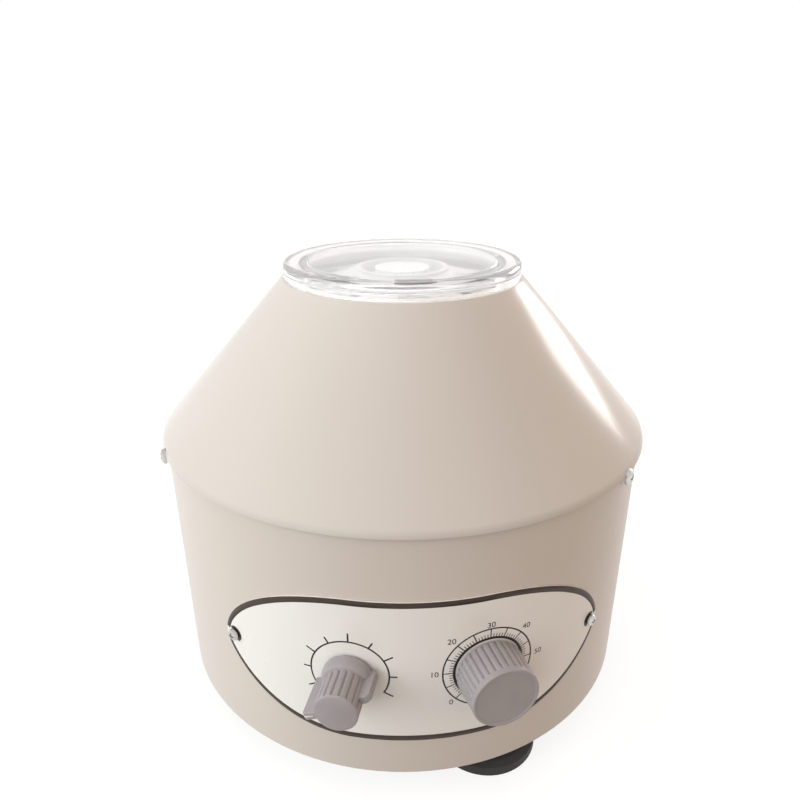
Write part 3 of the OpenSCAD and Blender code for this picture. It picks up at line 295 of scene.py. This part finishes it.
def soften(corners, cuts, steps=arc_steps):
    """A line through corner points with rounded corners: each is cut back by its own cut along both
    legs, and the ends A and B are joined past the corner P by (1-s)^2 A + 2s(1-s) P + s^2 B."""
    corners = np.asarray(corners, float)
    cuts = np.asarray(cuts, float)[:, None]
    to_last = np.roll(corners, 1, 0) - corners
    to_next = np.roll(corners, -1, 0) - corners
    ahead = corners + cuts * to_last / np.linalg.norm(to_last, axis=1)[:, None]
    behind = corners + cuts * to_next / np.linalg.norm(to_next, axis=1)[:, None]
    s = np.linspace(0.0, 1.0, steps)[None, :, None]
    curve = (1 - s) ** 2 * ahead[:, None] + 2 * s * (1 - s) * corners[:, None] + s**2 * behind[:, None]
    return curve.reshape(-1, 2)


def bend_points(radius):
    """The soft bend at a radius: its points stand round one middle, from the lean of the lower edge to the
    lean of the cone. The cone is the line from the brow that touches the bend."""
    mid_r, mid_z = edge_r - bend * math.cos(edge_lean), edge_z - bend * math.sin(edge_lean)
    across, up = brow_r - mid_r, brow_z - mid_z
    cone_lean = math.atan2(up, across) - math.acos(bend / math.hypot(across, up))
    lean = np.linspace(edge_lean, cone_lean, bend_count)
    return np.stack([mid_r + radius * np.cos(lean), mid_z + radius * np.sin(lean)], 1), cone_lean


set_shader(cover_enamel, "IOR", 1.28)
outer_bend, cone_lean = bend_points(bend)
inner_bend, _ = bend_points(bend - sheet_t)
brow_in = brow_r - (sheet_t - (brow_z - lip_under) * math.sin(cone_lean)) / math.cos(cone_lean)
lip = soften(
    [
        outer_bend[-1], [brow_r, brow_z], [mouth_r, brow_z], [mouth_r, lip_under], [brow_in, lip_under],
        inner_bend[-1],
    ],
    [0.0, 0.4, 0.3, 0.3, 0.2, 0.0],
)[arc_steps:-arc_steps]
cover_line = np.concatenate([outer_bend, lip, inner_bend[::-1], outer_bend[:1]])
cover = piece("cover_sheet", [lathe(cover_line, 384)], cover_enamel, "base", sharp=50.0)
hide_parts("cone_cover")

# Fasteners: pan-head screws, nuts and bolts of zinc-plated steel, slightly cloudy. They hold the cover, the
# panel, the base and the motor.
zinc = finish(
    "zinc_plate", (0.62, 0.61, 0.59), (0.50, 0.49, 0.47), 0.004, (0.22, 0.36), 0.0006, 0.000004, metal=1.0
)
dress(
    zinc, "base_screws", "cup_screws", "cup_nuts", "cover_screws", "end_screws", "speed_nut", "timer_nut",
    "motor_bolts", "motor_nuts", "buffer_screws", "inlet_screws",
)

# Spring washers: steel, black from the oxide bath. One lies under each end screw of the panel, on the
# printed sheet.
oxide = finish(
    "black_oxide", (0.045, 0.043, 0.042), (0.030, 0.029, 0.028), 0.003, (0.35, 0.5), 0.0005, 0.000006, metal=0.5
)
dress(oxide, "end_washers")

# Base plate and motor carrier: pressed steel in grey primer. The plate closes the drum from below, and the
# carrier holds the motor on its rubber buffers.
primer = finish(
    "grey_primer", (0.20, 0.195, 0.185), (0.16, 0.155, 0.150), 0.05, (0.55, 0.68), 0.0009, 0.00001
)
dress(primer, "base_plate", "motor_carrier")

# Cups, buffers and grommet: moulded black rubber with a dusty bloom. The cups stand on the bench, the buffers
# carry the motor, and the grommet closes the bowl round the shaft.
rubber = finish(
    "black_rubber", (0.024, 0.022, 0.021), (0.013, 0.012, 0.012), 0.02, (0.55, 0.75), 0.0007, 0.00002
)
dress(rubber, "rubber_cups", "rubber_buffers", "shaft_grommet")

# Bowl: a deep dish of spun aluminium, with the rings that the spinning tool leaves. Its flange lies on the
# drum's rim under the cover, and the shaft comes up through the hole in its floor.
spun = finish(
    "spun_aluminium", (0.80, 0.80, 0.79), (0.72, 0.72, 0.71), 0.06, (0.34, 0.46), 0.0010, 0.000006,
    stretch=(0.25, 0.25, 6.0), metal=0.4,
)
bowl_turn = np.radians(np.linspace(-90, 0, 13))
bowl_arc = np.stack([np.cos(bowl_turn), np.sin(bowl_turn)], 1)
turn_r, turn_z, turn_in, bowl_t = 112.0, 135.8, 6.0, 1.2
hole_r, flange_r, drum_rim = 19.3, 122.6, 148.6
wall_r, floor_z = turn_r + turn_in, turn_z - turn_in
bowl_under = bowl_arc * (turn_in + bowl_t) + [turn_r, turn_z]
bowl_inside = bowl_arc[::-1] * turn_in + [turn_r, turn_z]
flange_top = drum_rim + bowl_t
bowl_line = np.concatenate(
    [
        [[hole_r, floor_z], [hole_r, floor_z - bowl_t]],
        bowl_under,
        [[wall_r + bowl_t, drum_rim], [flange_r, drum_rim], [flange_r, flange_top], [wall_r, flange_top]],
        bowl_inside,
        [[hole_r, floor_z]],
    ]
)
bowl = piece("bowl_spinning", [lathe(bowl_line)], spun, "base")
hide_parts("chamber_bowl")

# Rotor: turned aluminium plates and hub in a pale lacquer, with a bright hand nut on top. Nylon sleeves line
# the tubes' places; their dark grey is painted shade in the pockets, and the board's standoffs take the same
# finish.
rotor_lacquer = finish(
    "rotor_lacquer", (0.56, 0.55, 0.54), (0.52, 0.51, 0.50), 0.03, (0.26, 0.36), 0.0012, 0.000008
)
nut_bright = finish("bright_nut", (0.70, 0.70, 0.69), (0.66, 0.66, 0.65), 0.01, (0.12, 0.2), 0.0008, 0.000004)
# Painted shade: the sleeves' finish is darkened to the grey of the shaded pockets, not the plastic's own white.
pocket_shade_nylon = finish("white_nylon", (0.16, 0.152, 0.15), (0.14, 0.134, 0.13), 0.02, (0.38, 0.5), 0.001, 0.000008)
dress(rotor_lacquer, "rotor_top_plate", "rotor_hub", "rotor_tray")
dress(nut_bright, "rotor_nut")
dress(pocket_shade_nylon, "tube_sleeves", "board_standoffs")

# Motor: a drawn steel can between two die-cast bells, with varnished laminations, enamelled copper wire and
# carbon brushes inside. The ground shaft runs in a bearing in each bell and carries the rotor.
can_steel = finish(
    "drawn_steel", (0.20, 0.21, 0.22), (0.15, 0.16, 0.17), 0.03, (0.35, 0.5), 0.001, 0.00001, metal=0.6
)
casting = finish(
    "die_casting", (0.40, 0.41, 0.42), (0.31, 0.32, 0.33), 0.02, (0.4, 0.55), 0.0012, 0.00003, metal=0.8
)
ground = finish(
    "ground_steel", (0.60, 0.61, 0.62), (0.50, 0.51, 0.52), 0.006, (0.18, 0.3), 0.0005, 0.000003,
    stretch=(1.0, 1.0, 8.0), metal=1.0,
)
laminated = finish(
    "laminations", (0.13, 0.13, 0.135), (0.08, 0.08, 0.085), 0.004, (0.4, 0.6), 0.0005, 0.00003,
    stretch=(0.2, 0.2, 5.0), metal=0.7,
)
copper = finish(
    "enamelled_copper", (0.45, 0.17, 0.06), (0.30, 0.10, 0.035), 0.002, (0.25, 0.4), 0.0005, 0.00004, metal=0.8
)
carbon = finish(
    "pressed_carbon", (0.02, 0.02, 0.022), (0.012, 0.012, 0.013), 0.004, (0.5, 0.7), 0.0004, 0.00001
)
dress(can_steel, "motor_can")
dress(casting, "motor_foot_bell", "motor_head_bell", "heat_sink")
dress(ground, "motor_shaft", "lower_bearing", "upper_bearing", "speed_spindle", "timer_spindle")
dress(laminated, "armature_core", "field_core")
dress(copper, "armature_winding", "field_coils", "commutator")
dress(carbon, "carbon_brushes")

# Electrics: black mouldings for the inlet, the fuse and the speed control, the clockwork timer's cream case,
# and the small circuit board with its capacitor and terminal block.
moulding = finish(
    "black_moulding", (0.030, 0.030, 0.032), (0.020, 0.020, 0.022), 0.02, (0.38, 0.5), 0.0008, 0.000012
)
cream = finish("cream_moulding", (0.56, 0.53, 0.44), (0.50, 0.47, 0.39), 0.02, (0.4, 0.5), 0.001, 0.00001)
resist = finish("solder_resist", (0.05, 0.16, 0.08), (0.03, 0.11, 0.055), 0.006, (0.25, 0.4), 0.001, 0.00001)
sleeve_blue = finish(
    "capacitor_sleeve", (0.045, 0.07, 0.16), (0.035, 0.055, 0.13), 0.01, (0.2, 0.3), 0.001, 0.000005
)
terminal = finish(
    "terminal_moulding", (0.10, 0.23, 0.09), (0.075, 0.18, 0.07), 0.01, (0.4, 0.5), 0.001, 0.00001
)
contact = finish(
    "plated_brass", (0.70, 0.52, 0.22), (0.58, 0.42, 0.17), 0.004, (0.2, 0.32), 0.0005, 0.000004, metal=1.0
)
dress(
    moulding, "cooling_fan", "brush_holders", "brush_caps", "control_carrier", "speed_control",
    "inlet_housing", "fuse_holder", "fuse_cap",
)
dress(cream, "timer_case")
dress(resist, "circuit_board")
dress(sleeve_blue, "smoothing_capacitor")
dress(terminal, "terminal_block")
dress(contact, "inlet_blades")

# Label: a printed sheet wrapped on the drum's face, with a screw through it near each tip.
# Its ink is a dark border along the edge, a crescent round each screw, and the marks of the two dials.
drum_r = 125.0
ink_r = 125.62
tip_z = 71.8
screw_run = 91.3
screw_z = 74.0
flat_half = 30.0
end_run = 68.0
top_rise, top_power = 41.6, 0.6
low_drop, low_power = 35.8, 0.7
ink_inset = 0.1
ink_film = 0.00003
label_white = finish(
    "label_sheet", (0.90, 0.872, 0.852), (0.88, 0.852, 0.832), 0.05, (0.22, 0.30), 0.002, 0.000004
)
dress(label_white, "label_plate")
border_ink = finish(
    "border_ink", (0.075, 0.056, 0.046), (0.058, 0.043, 0.035), 0.01, (0.34, 0.44), 0.0008, 0.000003
)
dial_ink = finish(
    "dial_ink", (0.040, 0.036, 0.035), (0.028, 0.025, 0.025), 0.01, (0.36, 0.46), 0.0008, 0.000003
)
for ink in (border_ink, dial_ink):
    set_shader(ink, "Specular IOR Level", 0.15)


def on_face(along, height):
    """A point of the wrapped sheet: an arc length along the drum from the panel's middle turns it by
    length over drum radius, and height stays."""
    turn_by = along / drum_r
    return MM * np.stack([ink_r * np.sin(turn_by), axis_y / MM - ink_r * np.cos(turn_by), height], -1)


def inked(line, width):
    """A printed line: each point of a path on the unrolled sheet is widened to both sides along the
    path's normal by half its width. Returns the wrapped grid and its faces, which look outwards."""
    step = np.gradient(line, axis=0)
    step /= np.linalg.norm(step, axis=1)[:, None]
    normal = np.stack([-step[:, 1], step[:, 0]], 1) * (np.broadcast_to(width, len(line)) / 2)[:, None]
    edges = np.stack([line - normal, line + normal], 1)
    return on_face(edges[..., 0], edges[..., 1]), grid_quads(len(line), 2)


def film(made):
    """Gives a printed layer its thickness of ink."""
    ink = made.modifiers.new("ink", "SOLIDIFY")
    ink.thickness = ink_film
    ink.offset = 1.0
    return made


def end_part(along):
    """How far a place lies into the label's curved end, from 0 at the straight stretch to 1 at the tip."""
    return np.clip((np.abs(along) - flat_half) / end_run, 0.0, 1.0)


def label_top(along):
    """Upper edge: the full rise times (1 - end part squared) to a power, above the tips."""
    return tip_z + top_rise * (1.0 - end_part(along) ** 2) ** top_power


def label_bottom(along):
    """Lower edge: the full drop times (1 - end part squared) to a power, below the tips."""
    return tip_z - low_drop * (1.0 - end_part(along) ** 2) ** low_power


top_half, low_half = 97.3, 96.4
spread = np.sin(np.linspace(-np.pi / 2, np.pi / 2, 241))
top_along = top_half * spread
low_along = low_half * spread
top_wide = np.interp(np.abs(top_along), [0, 42, 74, 90, top_half], [2.8, 2.9, 3.0, 2.7, 2.2])
low_wide = np.interp(np.abs(low_along), [0, 38, 70, low_half], [3.0, 2.8, 2.3, 1.9])
top_edge = np.stack([top_along, label_top(top_along)], 1)
low_edge = np.stack([low_along, label_bottom(low_along)], 1)


def inside_of(edge, wide, side):
    """The middle of a border band whose outer edge is the label's: half its width in from the edge."""
    step = np.gradient(edge, axis=0)
    step /= np.linalg.norm(step, axis=1)[:, None]
    return edge + side * np.stack([-step[:, 1], step[:, 0]], 1) * (wide / 2 + ink_inset)[:, None]


crescent_out, crescent_thin, crescent_swell, crescent_count = 4.05, 0.9, 1.1, 57
sweep = np.radians(np.linspace(-70, 142, crescent_count))
wide = crescent_thin + crescent_swell * np.sqrt(1.0 - np.linspace(-1, 1, crescent_count) ** 2)
reach = crescent_out - wide / 2
crescents = []
for side in (-1, 1):
    around = np.stack([side * (screw_run - reach * np.cos(sweep)), screw_z + reach * np.sin(sweep)], 1)
    crescents.append(inked(around[::-side], wide))
top_band = inked(inside_of(top_edge, top_wide, -1), top_wide)
low_band = inked(inside_of(low_edge, low_wide, 1), low_wide)
film(
    piece("label_border", [top_band, low_band, *crescents], border_ink, "base", closed=False)
)

# Dial marks: the speed dial has an open ring and nine ticks, every other one longer; the timer has a
# full outer ring, a heavy inner arc, minute ticks that reach the ring at each five, and its tens in figures.
dial_run = 30.7
speed_z, speed_ring, speed_tick, speed_wide = 73.7, 17.5, 17.7, 0.75
long_tick, short_tick, speed_end = 22.1, 21.0, 120
timer_z, timer_ring, ring_wide, timer_arc, arc_wide = 74.2, 20.9, 0.7, 15.9, 1.25
timer_tick, minute_tick, minute_wide, five_wide = 16.2, 18.2, 0.35, 0.5
timer_start, minute_step = -135, 4.5


def dial_line(middle, height, radius, start, end, count):
    """An arc of a dial: angles run clockwise from the top, at one radius round the dial's middle."""
    a = np.radians(np.linspace(start, end, count))
    return np.stack([middle + radius * np.sin(a), height + radius * np.cos(a)], 1)


def dial_ticks(middle, height, angles, inner, outer, width):
    """Straight strokes that point at the dial's middle, from one radius to another."""
    strokes = []
    for a in np.radians(angles):
        ray = np.linspace(inner, outer, 3)[:, None] * np.array([[math.sin(a), math.cos(a)]])
        strokes.append(inked(ray + np.array([[middle, height]]), width))
    return strokes


film(
    piece(
        "speed_marks",
        [
            inked(dial_line(-dial_run, speed_z, speed_ring, -speed_end - 1, speed_end + 1, 97), speed_wide),
            *dial_ticks(
                -dial_run, speed_z, np.arange(-speed_end, speed_end + 1, 60), speed_tick, long_tick, speed_wide
            ),
            *dial_ticks(-dial_run, speed_z, np.arange(-90, 91, 60), speed_tick, short_tick, speed_wide),
        ],
        dial_ink, "base", closed=False,
    )
)
minutes = np.arange(0, 61)
minute_turn = timer_start + minute_step * minutes
fives = minutes % 5 == 0
film(
    piece(
        "timer_marks",
        [
            inked(dial_line(dial_run, timer_z, timer_ring, -180, 180, 161), ring_wide),
            inked(dial_line(dial_run, timer_z, timer_arc, -135.6, 135.6, 109), arc_wide),
            *dial_ticks(dial_run, timer_z, minute_turn[~fives], timer_tick, minute_tick, minute_wide),
            *dial_ticks(dial_run, timer_z, minute_turn[fives], timer_tick, timer_ring, five_wide),
        ],
        dial_ink, "base", closed=False,
    )
)
figure_size = 4.0
figure_reach = [23.7, 24.6, 24.6, 22.9, 24.5, 25.0, 24.5]
figure_parts = []
figure_points = []
for tens in range(7):
    stroke = bpy.data.curves.new("timer_figure", "FONT")
    stroke.body = str(10 * tens)
    stroke.size = 1.0
    stroke.align_x = "CENTER"
    stroke.align_y = "CENTER"
    written = bpy.data.objects.new("timer_figure", stroke)
    flat = bpy.data.meshes.new_from_object(written)
    outline = np.zeros(3 * len(flat.vertices), np.float32)
    flat.vertices.foreach_get("co", outline)
    outline = figure_size * outline.reshape(-1, 3)[:, :2].astype(float)
    a = math.radians(timer_start + 10 * minute_step * tens)
    toward = figure_reach[tens] * np.array([[math.sin(a), math.cos(a)]])
    outline += np.array([[dial_run, timer_z]]) + toward
    start = sum(len(points) for points in figure_points)
    figure_parts += [[start + v for v in face.vertices] for face in flat.polygons]
    figure_points.append(on_face(outline[:, 0], outline[:, 1]))
    bpy.data.objects.remove(written)
    bpy.data.curves.remove(stroke)
    bpy.data.meshes.remove(flat)
figure_mesh = bpy.data.meshes.new("timer_figures")
figure_mesh.from_pydata(np.concatenate(figure_points).tolist(), [], figure_parts)
figure_mesh.materials.append(dial_ink)
figures = bpy.data.objects.new("timer_figures", figure_mesh)
bpy.context.scene.collection.objects.link(figures)
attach(figures, "base")
film(figures)

# Speed knob: one grey moulding with a domed collar, a fluted barrel, a pointer wing as tall as the
# barrel and a shorter fin opposite. It pushes on to the control's spindle.
knob_grey = finish(
    "knob_moulding", (0.355, 0.325, 0.338), (0.325, 0.297, 0.309), 0.008, (0.36, 0.46), 0.0007, 0.000008
)
knob_base = 126.6


def at_dial(joint, x, y, out):
    """A point of a knob: x to the right and y up in the dial's face, out along the spindle from the knob's
    base. The dial's own joint gives the spindle's line."""
    hinge = next(j for j in frame["joints"] if j["name"] == joint)
    outward = -np.array(hinge["axis"], float)
    right = np.array([-outward[1], outward[0], 0.0])
    up = np.array([0.0, 0.0, 1.0])
    middle = np.array([0.0, axis_y, hinge["pos_m"][2]])
    return middle + MM * ((knob_base + out)[..., None] * outward + x[..., None] * right + y[..., None] * up)


def fluted(joint, profile, depth, flutes, groove, samples):
    """A knob's turned form with grooves: at angle a a profile point (r, h) stands at radius
    r - depth * exp(-(d / groove)^2), where d is the arc from a to the nearest groove's middle."""
    a = np.linspace(0.0, 2 * np.pi, flutes * samples, endpoint=False)[None, :]
    r, h = profile[:, :1], profile[:, 1:]
    from_groove = np.abs((a * flutes / (2 * np.pi)) % 1.0 - 0.5) * 2 * np.pi / flutes * r
    cut = r - depth[:, None] * np.exp(-((from_groove / groove) ** 2))
    points = at_dial(joint, cut * np.sin(a), cut * np.cos(a), h + 0 * a)
    return points, grid_quads(len(profile), a.shape[1], loop_cols=True)


def wing(joint, outline, thick, edge, dial_angle):
    """A flat wing with rounded edges: its outline of radius and height is set in by edge * (1 - cos f) at
    half thickness - edge + edge * sin f on both sides, and each side closes on the outline's middle."""
    step = np.roll(outline, -1, 0) - np.roll(outline, 1, 0)
    step /= np.linalg.norm(step, axis=1)[:, None]
    inward = np.stack([-step[:, 1], step[:, 0]], 1)
    f = np.radians(np.concatenate([np.linspace(-90, 0, 7), np.linspace(0, 90, 7)]))
    rows = outline[None] + inward[None] * (edge * (1 - np.cos(f)))[:, None, None]
    level = np.sign(f + 1e-9 * (np.arange(14) - 6.5)) * (thick / 2 - edge) + edge * np.sin(f)
    middle = np.broadcast_to(outline.mean(0), (1, len(outline), 2))
    rows = np.concatenate([middle, rows, middle])
    level = np.concatenate([[-thick / 2], level, [thick / 2]])[:, None]
    a = math.radians(dial_angle)
    x = rows[..., 0] * math.sin(a) + level * math.cos(a)
    y = rows[..., 0] * math.cos(a) - level * math.sin(a)
    return at_dial(joint, x, y, rows[..., 1]), grid_quads(len(rows), len(outline), loop_cols=True)


one_corner = slice(arc_steps, 2 * arc_steps)
barrel_r = 9.45
collar_r, collar_h = 11.45, 1.8
flute_dip, flute_groove = 0.75, 0.50
speed_tall = 21.8
grip_low, grip_high = 6.0, speed_tall - 1.65
wing_thick, wing_edge = 3.8, 0.6
pointer_r, fin_r, fin_tall = 14.6, 13.7, speed_tall - 6.5
wing_root, wing_foot = 4.0, 0.5
bore_r, bore_deep, nut_room_r, nut_room_deep = 3.05, 12.0, 6.8, 4.0
bore_line = np.array(
    [
        [0.0, bore_deep], [bore_r, bore_deep], [bore_r, nut_room_deep], [nut_room_r, nut_room_deep],
        [nut_room_r, 0.0],
    ]
)
dome = np.radians(np.linspace(0, 90, 12))
cap = np.linspace(1.0, 0.0, 9)
barrel_h = np.concatenate(
    [
        grip_low + np.array([0.0, 0.15, 0.3, 0.5, 0.7, 1.0]),
        np.linspace(grip_low + 2.0, grip_high - 1.35, 9),
        grip_high - np.array([0.75, 0.55, 0.35, 0.15, 0.0]),
    ]
)
cap_r, cap_drop = barrel_r - 1.9, 0.55
speed_line = np.concatenate(
    [
        bore_line,
        soften([[collar_r - 1.0, 0.0], [collar_r, 0.0], [collar_r, collar_h]], [0.0, 0.35, 0.0])[one_corner],
        np.stack(
            [
                barrel_r + (collar_r - barrel_r) * np.cos(dome),
                collar_h + (grip_low - collar_h) * np.sin(dome),
            ],
            1,
        ),
        np.stack([0 * barrel_h + barrel_r, barrel_h], 1),
        soften(
            [
                [barrel_r, grip_high], [barrel_r, speed_tall - 1.1], [barrel_r - 0.7, speed_tall - 0.75],
                [cap_r, speed_tall - cap_drop],
            ],
            [0.0, 0.3, 0.3, 0.0],
        )[arc_steps : 3 * arc_steps],
        np.stack([cap_r * cap, speed_tall - cap_drop * cap**2], 1),
    ]
)
flute_deep = np.zeros(len(speed_line))
first = len(bore_line) + arc_steps + len(dome)
ramp_in = np.clip((barrel_h - grip_low) / 0.8, 0.0, 1.0)
ramp_out = np.clip((grip_high - barrel_h) / 0.6, 0.0, 1.0)
flute_deep[first : first + len(barrel_h)] = flute_dip * np.sin(np.pi / 2 * np.minimum(ramp_in, ramp_out))
pointer_at = -108.0
pointer_line = soften(
    [
        [wing_root, wing_foot], [pointer_r, wing_foot], [pointer_r, speed_tall - 1.7],
        [pointer_r - 0.9, speed_tall - 0.8], [wing_root, speed_tall - 0.8],
    ],
    [0.3, 0.5, 0.4, 0.4, 0.3],
)
fin_line = soften(
    [
        [wing_root, wing_foot], [fin_r, wing_foot], [fin_r, fin_tall - 2.0], [fin_r - 2.0, fin_tall],
        [wing_root, fin_tall],
    ],
    [0.3, 0.5, 0.6, 0.6, 0.3],
)
speed_knob = piece(
    "speed_knob_moulding",
    [
        fluted("speed_turn", speed_line, flute_deep, 18, flute_groove, 20),
        wing("speed_turn", pointer_line, wing_thick, wing_edge, pointer_at),
        wing("speed_turn", fin_line, wing_thick, wing_edge, pointer_at + 180.0),
    ],
    knob_grey, "speed_dial", sharp=50.0,
)
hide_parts("speed_knob")

# Pointer line: white paint wiped on the front of the pointer wing, along its top and over the bevel at its
# end. It turns with the knob.
pointer_white = finish(
    "pointer_paint", (0.86, 0.85, 0.84), (0.80, 0.79, 0.78), 0.004, (0.4, 0.5), 0.0006, 0.000006
)
stripe_half = 0.45
trace = soften(
    [
        [pointer_r - 4.7, speed_tall - 0.78], [pointer_r - 0.89, speed_tall - 0.78],
        [pointer_r + 0.02, speed_tall - 1.69], [pointer_r + 0.02, speed_tall - 5.0],
    ],
    [0.0, 0.4, 0.4, 0.0],
)[arc_steps - 1 : 1 - arc_steps]
across = np.array([[-stripe_half, stripe_half]])
aim = math.radians(pointer_at)
stripe = at_dial(
    "speed_turn",
    trace[:, :1] * math.sin(aim) + across * math.cos(aim),
    trace[:, :1] * math.cos(aim) - across * math.sin(aim),
    trace[:, 1:] + 0 * across,
)
painted = [(stripe, grid_quads(len(trace), 2))]
film(piece("pointer_stripe", painted, pointer_white, "speed_dial", closed=False))

# Timer knob: a larger tapered moulding, fluted for the fingers, with a plain band and a fine raised
# rim at its front. It winds the clockwork and runs back with it.
timer_tall = 17.2
timer_base_r, timer_front_r = 15.6, 15.1
band_z = timer_tall - 2.2
face_z = timer_tall - 0.5
timer_dip = 0.8
timer_grip = np.concatenate(
    [[0.35, 0.8], np.linspace(1.6, band_z - 2.4, 10), band_z - np.array([1.6, 1.1, 0.7, 0.4, 0.2])]
)
timer_line = np.concatenate(
    [
        bore_line,
        soften(
            [[timer_base_r - 1.2, 0.0], [timer_base_r, 0.0], [timer_base_r - 0.04, 0.35]], [0.0, 0.2, 0.0]
        )[one_corner],
        np.stack([timer_base_r - (timer_base_r - timer_front_r) * timer_grip / band_z, timer_grip], 1),
        soften(
            [
                [timer_front_r, band_z], [timer_front_r, face_z], [timer_front_r - 0.4, timer_tall],
                [timer_front_r - 1.2, timer_tall], [timer_front_r - 1.6, face_z], [0.0, face_z],
            ],
            [0.1, 0.2, 0.2, 0.2, 0.2, 0.0],
        ),
    ]
)
timer_deep = np.zeros(len(timer_line))
timer_first = len(bore_line) + arc_steps
timer_deep[timer_first : timer_first + len(timer_grip)] = timer_dip * np.sin(
    np.pi / 2 * np.clip((band_z - 0.2 - timer_grip) / 1.2, 0.0, 1.0)
)
timer_knob = piece(
    "timer_knob_moulding",
    [fluted("timer_turn", timer_line, timer_deep, 32, flute_groove, 16)],
    knob_grey, "timer_dial", sharp=50.0,
)
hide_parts("timer_knob")

# Lid: clear acrylic, a thick plate with a rounded rim that rests on the cover's lip, and a spigot that drops
# into the mouth. It lifts straight off. It casts no shadow, so that the lamps reach the rotor, and it bends
# light a little less than acrylic does, so that more of the rotor shows.
acrylic = finish(
    "clear_acrylic", (0.965, 0.955, 0.96), (0.95, 0.94, 0.945), 0.03, (0.025, 0.05), 0.004, 0.000001
)
set_shader(acrylic, "Transmission Weight", 0.90)
set_shader(acrylic, "IOR", 1.40)
lid_r, rim_in, spigot_r, spigot_in = 60.1, 57.1, 51.4, 48.0
lid_top, plate_under, seat_z, spigot_z = 229.3, 224.3, 221.1, 216.9
lid_line = soften(
    [
        [0.0, lid_top], [lid_r, lid_top], [lid_r, seat_z], [rim_in, seat_z], [rim_in, plate_under],
        [spigot_r, plate_under], [spigot_r, spigot_z], [spigot_in, spigot_z], [spigot_in, plate_under],
        [0.0, plate_under],
    ],
    [0.0, 3.0, 0.6, 0.5, 0.9, 0.8, 0.8, 0.8, 1.2, 0.0],
    steps=9,
)
lid = piece("lid_moulding", [lathe(lid_line)], acrylic, "lid", sharp=60.0)
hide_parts("clear_lid")
lid.visible_shadow = False
